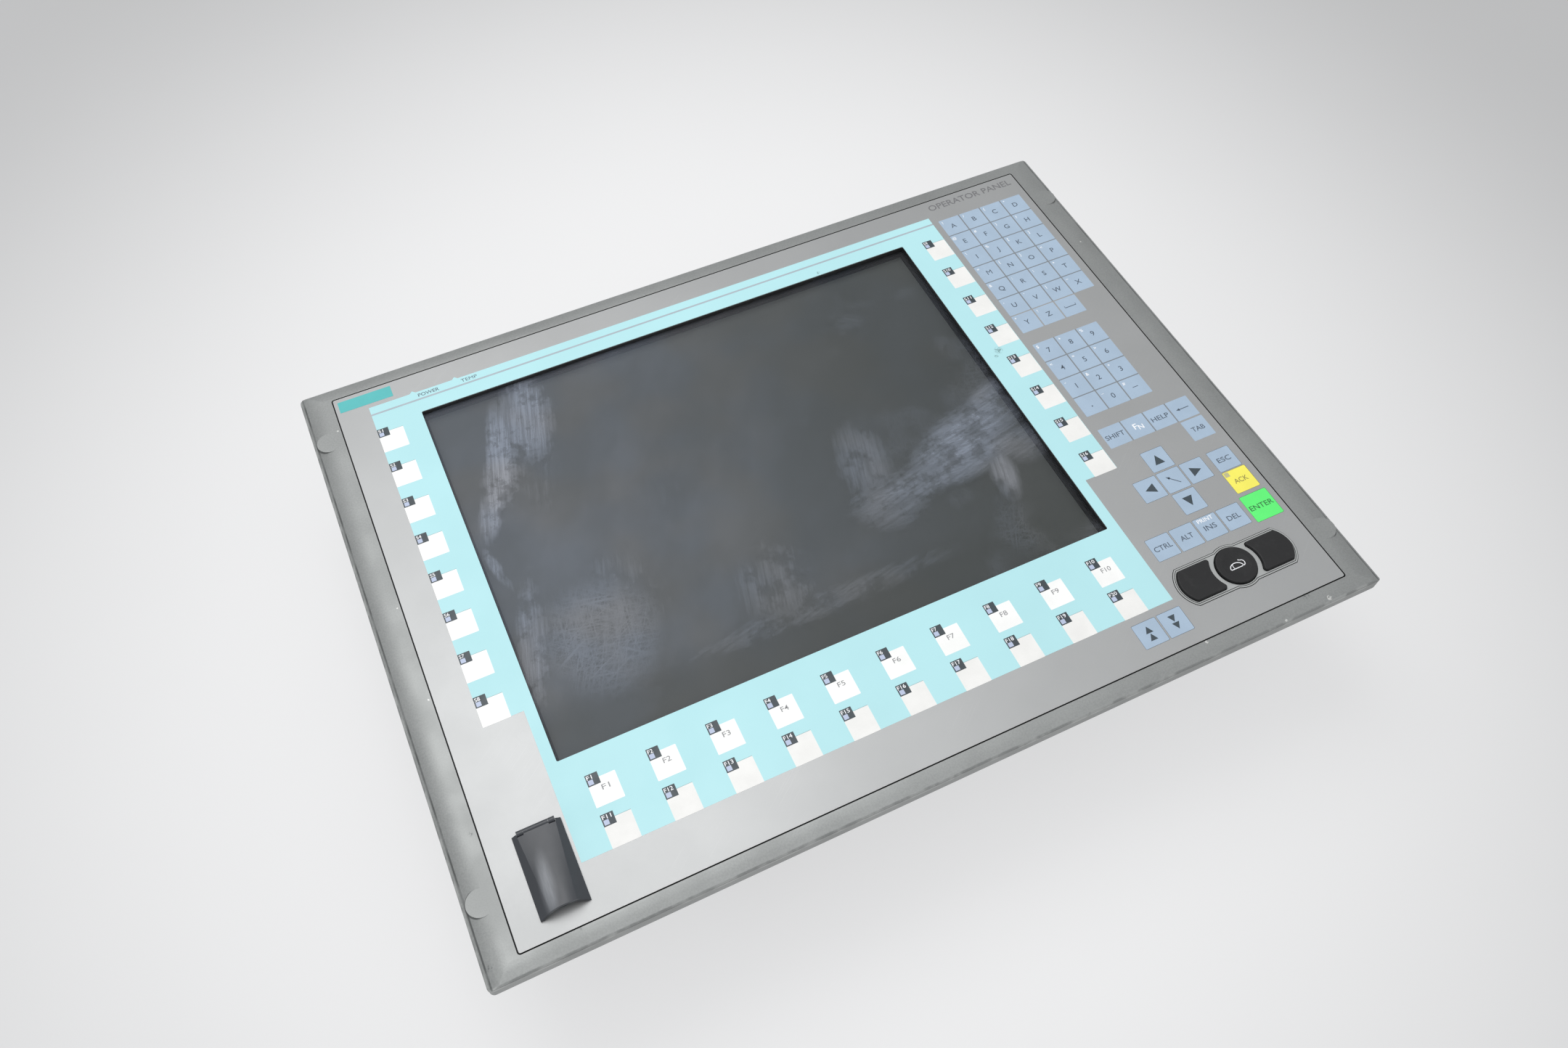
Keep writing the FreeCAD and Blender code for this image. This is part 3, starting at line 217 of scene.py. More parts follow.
    def bump(self, height, depth_mm):
        node = self.add("ShaderNodeBump")
        node.inputs["Strength"].default_value = 1.0
        node.inputs["Distance"].default_value = depth_mm * MM
        self.feed(node.inputs["Height"], height)
        self.feed(self.bsdf.inputs["Normal"], node.outputs[0])

    def set(self, name, value):
        self.feed(self.bsdf.inputs[name], value)


def finish(name, colour, rough, metal=0.0, grain=0.5, depth=0.01, mottle=0.06, mottle_size=30.0,
           speck=0.04, shine=0.5, patchy=0.05):
    """Base of every opaque finish: cloudy and fine colour variation, uneven roughness and surface grain."""
    s = Shader(name)
    clouds = s.noise(mottle_size, 4.0, 0.6)
    fine = s.noise(grain, 3.0, 0.6)
    tone = s.math("ADD", s.spread(clouds, 0.3, 0.7, 1 - mottle, 1 + mottle),
                  s.spread(fine, 0.3, 0.7, -speck, speck))
    s.colour = s.times(colour, tone)
    patches = s.spread(s.noise(mottle_size * 0.4, 3.0), 0.3, 0.7, rough - patchy, rough + patchy)
    s.rough = s.math("ADD", patches, s.spread(fine, 0.3, 0.7, -0.03, 0.03))
    s.set("Base Color", s.colour)
    s.set("Roughness", s.rough)
    s.bsdf.inputs["Metallic"].default_value = metal
    s.bsdf.inputs["Specular IOR Level"].default_value = shine
    s.bump(fine, depth)
    return s


# Marks on the frame: x, y and radius, in mm.
CHIPS = (
    (208.6, -175.1, 1.3), (180.4, -176.3, 0.7), (136.0, -169.6, 0.8), (-226.4, 145.6, 0.6),
    (-226.3, 21.0, 0.4), (-226.0, -35.0, 0.5), (232.0, 96.0, 0.5),
)
SCUFFS = (
    (-237.5, -168.0, 1.3), (-196.0, -169.5, 0.8), (146.0, -166.0, 3.0), (198.0, -168.0, 2.5),
    (-227.5, -108.0, 1.1),
)


def frame_paint():
    """Structured grey paint with chips down to the primer, rims paler with wear and a painted highlight, a
    few dark scuffs, painted shade at the pads' feet and down in the joint, and a painted dark reflection
    line along the rounded rim.
    """
    s = finish("frame_paint", srgb(149, 151, 150), 0.47, metal=0.55, grain=0.9, depth=0.035, mottle=0.05,
               mottle_size=60.0, speck=0.07)
    ragged = s.spread(s.noise(0.8, 2.0), 0.35, 0.5)
    bare = s.math("MULTIPLY", s.most([s.spot(x, y, r, 0.25) for x, y, r in CHIPS]),
                  s.math("MULTIPLY", ragged, 0.55))
    dark = s.math("MULTIPLY", s.most([s.spot(x, y, r, 0.4) for x, y, r in SCUFFS]),
                  s.spread(s.noise(1.1, 3.0), 0.45, 0.6, 0.0, 0.55))
    _, _, frame_w, frame_h = middle_of("front_frame")
    out_x = s.math("SUBTRACT", s.math("ABSOLUTE", s.axis("X")), frame_w / 2 - 0.9)
    out_y = s.math("SUBTRACT", s.math("ABSOLUTE", s.axis("Y")), frame_h / 2 - 0.9)
    rim = s.math("MULTIPLY", s.spread(s.math("MAXIMUM", out_x, out_y), -0.4, 0.4),
                 s.spread(s.axis("Z"), ARRIS_Z - 0.5, ARRIS_Z + 0.3))
    # Paler along the outer rims: partly real wear, partly a painted highlight where the rounded rim catches
    # the light.
    wear_and_painted_highlight = s.math("MULTIPLY", rim, s.spread(s.noise(9.0, 4.0), 0.44, 0.62, 0.0, 0.55))
    colour = s.mix(wear_and_painted_highlight, s.colour, srgb(196, 198, 196))
    colour = s.mix(dark, colour, srgb(70, 72, 72))
    colour = s.mix(bare, colour, srgb(244, 244, 240))
    # Painted shade: darker at the foot of the four blank pads, on their outer side.
    colour = s.mix(s.math("MULTIPLY", painted_pad_shade(s), 0.6), colour, srgb(60, 62, 62))
    # Painted reflection: a dark line along the frame's rounded rim, broken up by noise.
    painted_dark_reflection = s.math("MULTIPLY", s.band(s.axis("Z"), REFLECTION_LINE_Z, 0.16),
                  s.spread(s.noise(14.0, 3.0), 0.35, 0.6, 0.25, 0.7))
    colour = s.mix(painted_dark_reflection, colour, srgb(58, 60, 60))
    # Painted shade: near black down in the joint between frame and foil.
    s.set("Base Color", s.mix(painted_joint_shade(s), colour, srgb(34, 35, 35)))
    return s.material


def painted_pad_shade(s):
    """Painted shade at the foot of the four blank pads, on their outer side."""
    across = s.math("SUBTRACT", s.math("ABSOLUTE", s.axis("X")), PAD_X)
    along = s.math("SUBTRACT", s.math("ABSOLUTE", s.axis("Y")), PAD_Y)
    squares = s.math("ADD", s.math("MULTIPLY", across, across), s.math("MULTIPLY", along, along))
    reach = s.math("SQRT", squares)
    return s.math("MULTIPLY", s.band(reach, PAD_R + 0.35, 0.3), s.spread(across, 1.0, 4.0))


def painted_joint_shade(s):
    """Painted shade: the frame's paint darkened down in the joint between frame and foil."""
    out_x, out_y = s.math("ABSOLUTE", s.axis("X")), s.math("ABSOLUTE", s.axis("Y"))
    inside = s.math("MULTIPLY", s.spread(out_x, FOIL_HALF_W + 0.9, FOIL_HALF_W + 0.8),
                    s.spread(out_y, FOIL_HALF_H + 0.9, FOIL_HALF_H + 0.8))
    return s.math("MULTIPLY", inside, s.spread(s.axis("Z"), FACE - 0.1, FACE - 0.3))


def foil_grey():
    """Silver-grey printed foil with a satin sheen, faint handling marks and fine scratches."""
    s = finish("foil_grey", srgb(170, 171, 171), 0.44, metal=0.58, grain=0.35, depth=0.004, mottle=0.03,
               mottle_size=90.0, speck=0.015, patchy=0.012)
    hair = s.math("MULTIPLY", s.spread(s.noise(1.0, 1.0, turn=38, stretch=(60, 0.35, 1)), 0.66, 0.72),
                  s.spread(s.noise(45.0, 2.0, shift=(9, 4, 0)), 0.52, 0.62, 0.0, 0.08))
    s.set("Base Color", s.mix(hair, s.colour, srgb(225, 226, 226)))
    return s.material


def field_print():
    """Light cyan print on the foil, with a few stains."""
    s = finish("field_cyan", srgb(182, 229, 234), 0.5, grain=0.4, depth=0.004, mottle=0.02, mottle_size=70.0,
               speck=0.01)
    stains = [(139.5, 40.5, 2.2), (70.9, 141.4, 1.0), (136.0, 37.0, 1.1)]
    dirt = s.math("MULTIPLY", s.most([s.spot(x, y, r, 0.5) for x, y, r in stains]),
                  s.spread(s.noise(0.9, 3.0), 0.42, 0.58, 0.0, 0.7))
    s.set("Base Color", s.mix(dirt, s.colour, srgb(90, 120, 118)))
    return s.material


def key_film(name, colour):
    """Printed satin film, faintly cloudy and grained."""
    return finish(name, colour, 0.44, grain=0.4, depth=0.005, mottle=0.03, mottle_size=14.0,
                  speck=0.012).material


def moulded(name, colour, rough, grain=0.45, depth=0.008, shine=0.5, dust=0.0):
    """Moulded plastic with a fine eroded texture and dust that lies in patches."""
    s = finish(name, colour, rough, grain=grain, depth=depth, mottle=0.05, mottle_size=12.0, shine=shine)
    lying = s.math("MULTIPLY", s.spread(s.noise(6.0, 5.0, 0.65), 0.5, 0.75), dust)
    s.set("Base Color", s.mix(lying, s.colour, srgb(170, 170, 168)))
    return s.material


def cover_plastic():
    """Satin dark plastic of the port cover, with a painted highlight streak along the left of its crown and
    a painted highlight along the crown's edge at its free end.
    """
    s = finish("cover_dark", srgb(58, 61, 66), 0.36, grain=0.3, depth=0.004, mottle=0.04, mottle_size=14.0,
               patchy=0.02)
    streak = s.noise(1.4, 4.0, 0.6, stretch=(1, 16, 1))
    # Painted highlight: a paler streak along the left of the crown, which is also a little rougher.
    painted_highlight_streak = s.math("MULTIPLY", s.spot(-202.9, -147.5, 1.0, 0.8, stretch=(2.6, 12.0), turn=-5),
                    s.spread(streak, 0.3, 0.7, 0.55, 0.8))
    low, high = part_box("usb_cover")
    # Painted highlight: a paler line along the crown's edge at the cover's free end.
    painted_edge_highlight = s.math("MULTIPLY", s.spread(s.axis("Y"), low.y / MM + 1.1, low.y / MM + 0.7),
                   s.spread(s.axis("Z"), high.z / MM - 2.4, high.z / MM - 0.9, 0.0, 0.4))
    colour = s.mix(s.math("MAXIMUM", painted_highlight_streak, painted_edge_highlight), s.colour, srgb(146, 149, 154))
    s.set("Base Color", colour)
    s.set("Roughness", s.math("ADD", s.rough, s.math("MULTIPLY", painted_highlight_streak, 0.12)))
    return s.material


def bezel_grey():
    """Grey surround of the pointing stick, with painted shade darkening its groove and walls."""
    s = finish("bezel_grey", srgb(178, 180, 179), 0.44, metal=0.4, grain=0.35, depth=0.004, mottle=0.03,
               speck=0.015)
    # Painted shade: near black below the bezel's top, in its groove and down its walls.
    painted_groove_shade = s.spread(s.axis("Z"), FACE + 0.14, FACE + 0.02, 0.0, 0.92)
    s.set("Base Color", s.mix(painted_groove_shade, s.colour, srgb(30, 31, 31)))
    return s.material


def bare_metal(name, colour, rough, brushed=0.0, depth=0.006):
    """Metal with a slight oxide tone and, where asked, brush lines along X."""
    s = finish(name, colour, rough, metal=1.0, grain=0.6, depth=depth, mottle=0.06, mottle_size=18.0)
    lines = s.noise(0.25, 2.0, stretch=(60, 1, 1))
    tone = s.spread(lines, 0.3, 0.7, 1 - brushed, 1 + brushed)
    s.set("Base Color", s.times(s.colour, tone))
    return s.material


def zinc_sheet():
    """Zinc-plated sheet: crystalline spangle, grey passivation bloom and a few long handling scratches."""
    s = finish("zinc_sheet", srgb(186, 189, 192), 0.38, metal=0.9, grain=0.8, depth=0.006, mottle=0.05,
               mottle_size=70.0)
    spangle = s.add("ShaderNodeSeparateColor")
    s.feed(spangle.inputs[0], s.cells(9.0, output="Color"))
    tone = s.spread(spangle.outputs[0], 0.0, 1.0, 0.9, 1.06)
    scratch = s.spread(s.noise(1.0, 1.0, turn=24, stretch=(70, 0.5, 3)), 0.7, 0.75, 0.0, 0.5)
    s.set("Base Color", s.mix(scratch, s.times(s.colour, tone), srgb(225, 227, 228)))
    s.set("Roughness", s.math("ADD", s.rough, s.spread(spangle.outputs[1], 0.0, 1.0, -0.07, 0.09)))
    return s.material


def circuit_board():
    """Solder mask over tracks, with tinned pads and pale component print."""
    s = finish("circuit_board", srgb(24, 84, 52), 0.34, grain=0.5, depth=0.01, mottle=0.05, mottle_size=20.0)
    tracks = s.math("MAXIMUM", s.spread(s.noise(1.0, 0.0, stretch=(26, 0.8, 9)), 0.5, 0.56),
                    s.spread(s.noise(1.0, 0.0, stretch=(0.8, 26, 9), shift=(3, 5, 0)), 0.5, 0.56))
    pads = s.spread(s.cells(3.4), 0.16, 0.12)
    colour = s.mix(s.math("MULTIPLY", tracks, 0.35), s.colour, srgb(54, 128, 78))
    s.set("Base Color", s.mix(pads, colour, srgb(196, 198, 190)))
    return s.material


def clear_plastic():
    s = finish("light_guide_clear", srgb(214, 226, 226), 0.2, grain=0.5, depth=0.004, mottle=0.03)
    s.bsdf.inputs["Coat Weight"].default_value = 0.3
    return s.material


def seal_rubber():
    s = finish("seal_rubber", srgb(34, 34, 35), 0.72, grain=0.5, depth=0.02, mottle=0.12, mottle_size=8.0)
    bloom = s.spread(s.noise(7.0, 4.0), 0.55, 0.75, 0.0, 0.35)
    s.set("Base Color", s.mix(bloom, s.colour, srgb(88, 88, 88)))
    return s.material


def lcd_cell():
    """Dark anti-glare polariser of the switched-off display."""
    return finish("lcd_cell", srgb(84, 86, 84), 0.6, grain=0.6, depth=0.001, mottle=0.04, mottle_size=120.0,
                  speck=0.01, shine=0.15, patchy=0.01).material


# Smudges on the pane: centre x, y, half width, half height, turn in degrees, strength.
SMUDGES = (
    (-128.0, 112.0, 15.0, 34.0, -14, 0.8), (-149.0, 92.0, 8.0, 36.0, -12, 0.95),
    (-162.0, 63.0, 7.5, 24.0, -28, 0.9), (-141.0, 98.0, 17.0, 40.0, -14, 0.45),
    (-157.0, 78.0, 8.0, 28.0, -18, 0.7), (-173.5, 25.0, 3.4, 17.0, 12, 0.65),
    (-169.0, -24.0, 9.0, 38.0, -14, 0.66), (-138.0, 72.0, 22.0, 50.0, -12, 0.32),
    (-130.0, -24.0, 36.0, 44.0, -20, 0.42), (-46.0, -43.0, 24.0, 28.0, 0, 0.36),
    (-95.0, 30.0, 40.0, 56.0, -14, 0.24), (-45.0, -66.0, 84.0, 8.0, 0, 0.3),
    (92.0, -4.0, 36.0, 15.0, 17, 0.75), (74.0, -20.0, 54.0, 10.0, 3, 0.6),
    (34.0, -24.0, 22.0, 18.0, 6, 0.42), (99.0, -35.0, 7.0, 16.0, -12, 0.6),
    (32.0, 4.0, 15.0, 26.0, -8, 0.4), (112.0, 11.0, 19.0, 9.0, 35, 0.6),
    (118.0, -22.0, 14.0, 12.0, 0, 0.35),
)


def pane_glass():
    """Clear pane with greasy smears and fine curved scratches on its outer face."""
    s = Shader("pane_glass")
    tree, bsdf = s.tree, s.bsdf
    upright = s.math("ADD", s.math("MULTIPLY", s.noise(1.0, 4.0, 0.6, turn=-14, stretch=(1.5, 36, 1)), 0.6),
                     s.math("MULTIPLY", s.noise(1.0, 3.0, 0.6, turn=-18, stretch=(0.5, 14, 1)), 0.4))
    level = s.math("ADD", s.math("MULTIPLY", s.noise(1.0, 4.0, 0.6, turn=14, stretch=(30, 1.7, 1)), 0.6),
                   s.math("MULTIPLY", s.noise(1.0, 3.0, 0.6, turn=-6, stretch=(14, 0.5, 1)), 0.4))
    upright = s.spread(upright, 0.38, 0.62, 0.62, 1.0)
    level = s.spread(level, 0.38, 0.62, 0.62, 1.0)
    clouds = s.spread(s.noise(15.0, 8.0, 0.75), 0.38, 0.54, 0.5, 1.0)
    smears = []
    for x, y, half_w, half_h, turn, strength in SMUDGES:
        streaks = upright if half_h > half_w else level
        edge = s.spot(x, y, 1.0, 0.62, stretch=(half_w, half_h), turn=turn)
        wiped = s.math("MULTIPLY", s.math("MULTIPLY", streaks, clouds), strength)
        smears.append(s.math("MULTIPLY", edge, wiped))
    smear = s.most(smears)
    drifts = s.spread(s.noise(60.0, 4.0, 0.6, turn=-30, stretch=(1, 1.8, 1)), 0.35, 0.7, 0.62, 1.0)
    haze = s.math("MULTIPLY", drifts, s.spread(s.axis("X"), -190.0, 150.0, 0.36, 0.07))
    haze = s.math("MULTIPLY", haze, s.spread(s.axis("Y"), -78.0, -52.0, 0.45, 1.0))
    lines = []
    for turn, length, shift in ((62, 22, 0), (28, 30, 7), (-40, 26, 13), (84, 44, 21), (-12, 34, 33)):
        streak = s.noise(1.0, 0.0, turn=turn, stretch=(length, 0.3, 1), shift=(shift, shift, 0))
        lines.append(s.spread(streak, 0.61, 0.66))
    where = s.math("MAXIMUM", s.spot(-138.0, -34.0, 1.0, 0.6, stretch=(32.0, 34.0)),
                   s.spread(s.noise(40.0, 2.0, shift=(31, 12, 0)), 0.5, 0.64, 0.08, 0.3))
    scratch = s.math("MULTIPLY", s.most(lines), s.math("MULTIPLY", where, 0.55))
    pane_top = top_of("display_pane")
    outer = s.spread(s.axis("Z"), pane_top - 0.3, pane_top - 0.1)
    film = s.math("MULTIPLY", s.most([smear, scratch, haze]), outer)
    clear = s.add("ShaderNodeBsdfTransparent")
    clear.inputs["Color"].default_value = (0.93, 0.94, 0.94, 1)
    gloss = s.add("ShaderNodeBsdfAnisotropic")
    gloss.inputs["Color"].default_value = (0.6, 0.6, 0.6, 1)
    gloss.inputs["Roughness"].default_value = 0.45
    fresnel = s.add("ShaderNodeFresnel")
    fresnel.inputs["IOR"].default_value = 1.33
    glass = s.add("ShaderNodeMixShader")
    s.feed(glass.inputs[0], s.math("MULTIPLY", fresnel.outputs[0], outer))
    s.feed(glass.inputs[1], clear.outputs[0])
    s.feed(glass.inputs[2], gloss.outputs[0])
    grease = s.mix(s.spread(s.noise(60.0), 0.4, 0.6), srgb(178, 188, 206), srgb(186, 189, 198))
    s.set("Base Color", grease)
    bsdf.inputs["Roughness"].default_value = 0.6
    bsdf.inputs["Specular IOR Level"].default_value = 0.1
    smeared = s.add("ShaderNodeMixShader")
    s.feed(smeared.inputs[0], s.math("MULTIPLY", film, 0.6))
    s.feed(smeared.inputs[1], glass.outputs[0])
    s.feed(smeared.inputs[2], bsdf.outputs[0])
    tree.links.new(smeared.outputs[0], tree.nodes["Material Output"].inputs["Surface"])
    return s.material


SLOT_MATERIALS = {
    "frame_paint": frame_paint,
    "foil_grey": foil_grey,
    "plate_aluminium": lambda: bare_metal("plate_dark", srgb(92, 92, 92), 0.5, 0.05),
    "seal_rubber": seal_rubber,
    "dome_steel": lambda: bare_metal("dome_steel", srgb(200, 200, 196), 0.25),
    "circuit_board": circuit_board,
    "label_white": lambda: key_film("label_white", srgb(240, 239, 234)),
    "key_blue": lambda: key_film("key_blue", srgb(167, 187, 207)),
    "key_yellow": lambda: key_film("key_yellow", srgb(250, 240, 98)),
    "key_green": lambda: key_film("key_green", srgb(96, 246, 120)),
    "bezel_grey": bezel_grey,
    "button_black": lambda: moulded("button_black", srgb(32, 32, 33), 0.55, shine=0.35, depth=0.012,
                                    dust=0.02),
    "gimbal_plastic": lambda: moulded("gimbal_plastic", srgb(214, 214, 208), 0.45),
    "cover_dark": cover_plastic,
    "pin_steel": lambda: bare_metal("pin_steel", srgb(188, 189, 190), 0.28, 0.06),
    "socket_metal": lambda: bare_metal("socket_metal", srgb(196, 197, 194), 0.3, 0.05),
    "light_guide_clear": clear_plastic,
    "pane_glass": pane_glass,
    "lcd_metal": lambda: bare_metal("lcd_metal", srgb(40, 41, 42), 0.6, 0.03),
    "lcd_cell": lcd_cell,
    "lamp_glass": lambda: moulded("lamp_glass", srgb(240, 240, 234), 0.25),
    "zinc_sheet": zinc_sheet,
    "pillar_brass": lambda: bare_metal("pillar_brass", srgb(206, 172, 96), 0.3, 0.05),
    "screw_steel": lambda: bare_metal("screw_steel", srgb(176, 178, 180), 0.32, 0.08),
    "heatsink_aluminium": lambda: bare_metal("heatsink_aluminium", srgb(208, 210, 212), 0.34, 0.1),
    "fan_black": lambda: moulded("fan_black", srgb(30, 30, 31), 0.45, dust=0.3),
    "disk_casting": lambda: bare_metal("disk_casting", srgb(160, 163, 168), 0.42, 0.04, depth=0.02),
    "inlet_black": lambda: moulded("inlet_black", srgb(28, 28, 29), 0.4, dust=0.12),
    "rocker_black": lambda: moulded("rocker_black", srgb(20, 20, 21), 0.22, depth=0.002, dust=0.06),
}


def dress_cad_nodes():
    """Every CAD node takes the material of its slot."""
    made = {slot: build() for slot, build in SLOT_MATERIALS.items()}
    for part in frame["record"]["subparts"]:
        node = nodes[part["node"]]
        material = made[part["material_slot"]]
        if not node.material_slots:
            node.data.materials.append(material)
        for material_slot in node.material_slots:
            material_slot.material = material
    return made


made = dress_cad_nodes()
PRINTS = {
    "cyan": field_print(),
    "rule": key_film("print_rule", srgb(170, 182, 190)),
    "key_blue": made["key_blue"],
    "window": key_film("print_window", srgb(250, 250, 248)),
    "window_plain": key_film("print_window_plain", srgb(240, 239, 236)),
    # painted shadow: the thin darker lines along the tops of the windows
    "edge": key_film("print_painted_shadow", srgb(150, 184, 188)),
    "tag": key_film("print_tag", srgb(56, 66, 72)),
    "lamp": key_film("print_lamp", srgb(186, 197, 222)),
    "grey": key_film("print_grey", srgb(150, 150, 152)),
    "joint": key_film("print_joint", srgb(122, 132, 142)),
    "dark": key_film("print_dark", srgb(84, 96, 110)),
    "arrow": key_film("print_arrow", srgb(58, 70, 78)),
    "white": key_film("print_white", srgb(250, 251, 253)),
    "olive": key_film("print_olive", srgb(150, 140, 74)),
    "green": key_film("print_green", srgb(44, 118, 62)),
    "petrol": key_film("print_petrol", srgb(84, 186, 186)),
    "title": key_film("print_title", srgb(116, 116, 118)),
    "pale": key_film("print_pale", srgb(190, 186, 140)),
}


# ---- printed shapes ----
def rect(cx, cy, w, h, corner=0.0):
    """Outline of a rectangle, its corners rounded by arcs of five points."""
    if not corner:
        return [(cx - w / 2, cy - h / 2), (cx + w / 2, cy - h / 2), (cx + w / 2, cy + h / 2),
                (cx - w / 2, cy + h / 2)]
    points = []
    for quarter, (sx, sy) in enumerate(((1, 1), (-1, 1), (-1, -1), (1, -1))):
        for step in range(5):
            a = math.radians(90 * quarter + 22.5 * step)
            points.append((cx + sx * (w / 2 - corner) + corner * math.cos(a),
                           cy + sy * (h / 2 - corner) + corner * math.sin(a)))
    return points


def box_between(x0, y0, x1, y1):
    return rect((x0 + x1) / 2, (y0 + y1) / 2, abs(x1 - x0), abs(y1 - y0))


def triangle(cx, cy, w, h, turn=0.0):
    """Isosceles triangle, its tip towards +Y before it is turned about its centre."""
    a = math.radians(turn)
    points = [(-w / 2, -h / 2), (w / 2, -h / 2), (0, h / 2)]
    return [(cx + x * math.cos(a) - y * math.sin(a), cy + x * math.sin(a) + y * math.cos(a))
            for x, y in points]


def stroke(points, width):
    """Outline of an open line of that width, mitred at its inner points."""
    left, right = [], []
    for i, (x, y) in enumerate(points):
        x0, y0 = points[max(i - 1, 0)]
        x1, y1 = points[min(i + 1, len(points) - 1)]
        along = math.hypot(x1 - x0, y1 - y0)
        nx, ny = -(y1 - y0) / along * width / 2, (x1 - x0) / along * width / 2
        left.append((x + nx, y + ny))
        right.append((x - nx, y - ny))
    return left + right[::-1]


def outline_curve(outlines, thickness):
    """Filled flat curve of that thickness about the outlines' own plane; outlines and thickness in mm."""
    curve = bpy.data.curves.new("outline", "CURVE")
    curve.dimensions = "2D"
    curve.fill_mode = "BOTH"
    curve.extrude = thickness * MM / 2
    for outline in outlines:
        spline = curve.splines.new("POLY")
        spline.points.add(len(outline) - 1)
        for point, (x, y) in zip(spline.points, outline):
            point.co = (x * MM, y * MM, 0, 1)
        spline.use_cyclic_u = True
    return curve


def add_curve(target, curve, place):
    """Adds a curve's filled solid to a bmesh at a place."""
    holder = bpy.data.objects.new("holder", curve)
    scene.collection.objects.link(holder)
    depsgraph = bpy.context.evaluated_depsgraph_get()
    mesh = bpy.data.meshes.new_from_object(holder.evaluated_get(depsgraph))
    mesh.transform(place)
    target.from_mesh(mesh)
    bpy.data.objects.remove(holder)
    bpy.data.curves.remove(curve)
    bpy.data.meshes.remove(mesh)


def piece_from(target, name, material, body):
    """Turns a bmesh into a named piece with that material, riding a body."""
    bmesh.ops.remove_doubles(target, verts=target.verts, dist=WELD)
    bmesh.ops.recalc_face_normals(target, faces=target.faces)
    mesh = bpy.data.meshes.new(name)
    target.to_mesh(mesh)
    target.free()
    mesh.materials.append(material)
    piece = bpy.data.objects.new(name, mesh)
    scene.collection.objects.link(piece)
    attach(piece, body)
    return piece


def ink(name, outlines, level, material, body="root", base=FACE):
    """Print layer: each outline is a thin solid on the face, level mm high; a list is a shape with holes."""
    target = bmesh.new()
    for outline in outlines:
        rings = outline if isinstance(outline, list) and isinstance(outline[0], list) else [outline]
        place = Matrix.Translation((0, 0, (base + level / 2) * MM))
        add_curve(target, outline_curve(rings, level), place)
    return piece_from(target, name, material, body)


def legends(name, items, level, material, body="root", base=FACE):
    """Printed words: each item is text, centre x and y, capital height and, where given, width, in mm."""
    target = bmesh.new()
    for text, x, y, cap, *width in items:
        curve = bpy.data.curves.new("text", "FONT")
        curve.body = text
        curve.size = cap / CAP_SHARE * MM
        curve.resolution_u = 3
        if "M" not in text:            # an M's narrow notch closes up when thickened
            curve.offset = THICKENING * cap * MM
        curve.extrude = level * MM / 2
        holder = bpy.data.objects.new("holder", curve)
        scene.collection.objects.link(holder)
        bpy.context.view_layer.update()
        corners = [Vector(c) for c in holder.bound_box]
        left, right = min(c.x for c in corners), max(c.x for c in corners)
        bpy.data.objects.remove(holder)
        across = width[0] * MM / (right - left) if width else 1.0
        place = Matrix.Translation((x * MM, (y - cap / 2) * MM, (base + level / 2) * MM))
        place = place @ Matrix.Diagonal((across, 1, 1, 1)) @ Matrix.Translation((-(left + right) / 2, 0, 0))
        add_curve(target, curve, place)
    return piece_from(target, name, material, body)


# ---- the foil's print ----
def side_places():
    """Centres of the S keys' windows, the left column first."""
    return [(x, SIDE_TOP - row * SIDE_PITCH)
            for x in (SIDE_LEFT_X, SIDE_RIGHT_X) for row in range(SIDE_KEYS)]


def row_places():
    """Centres of the F keys' windows, the upper row first."""
    return [(ROW_LEFT + column * ROW_KEY_PITCH, y)
            for y in (ROW_UPPER_Y, ROW_LOWER_Y) for column in range(ROW_KEYS)]


def block_x(column):
    return BLOCK_LEFT + column * KEY_PITCH


def field():
    """Light cyan field round the screen, its rule and the little peaks over the two indicator lights."""
    outer = [(FIELD_LEFT, FIELD_TOP), (FIELD_LEFT, FIELD_STEP_Y), (LOWER_LEFT, FIELD_STEP_Y),
             (LOWER_LEFT, FIELD_BOTTOM), (LOWER_RIGHT, FIELD_BOTTOM), (LOWER_RIGHT, FIELD_STEP_Y),
             (FIELD_RIGHT, FIELD_STEP_Y), (FIELD_RIGHT, FIELD_TOP)]
    screen = rect(*SCREEN, 0.8)
    ink("print_field", [[outer, screen]], FIELD_T, PRINTS["cyan"])
    ink("print_rule", [box_between(FIELD_LEFT, 148.0, FIELD_RIGHT, 149.2)], WINDOW_T, PRINTS["rule"])
    peaks = [triangle(middle_of(light)[0], FIELD_TOP + 0.8, 3.4, 1.6) for light in ("power_led", "temp_led")]
    ink("indicator_windows", peaks, FIELD_T, PRINTS["cyan"])
    legends("indicator_names", [("POWER", -172.5, 151.6, 2.3, 12.2), ("TEMP", -148.5, 151.6, 2.3, 9.4)],
            WINDOW_T, PRINTS["dark"])


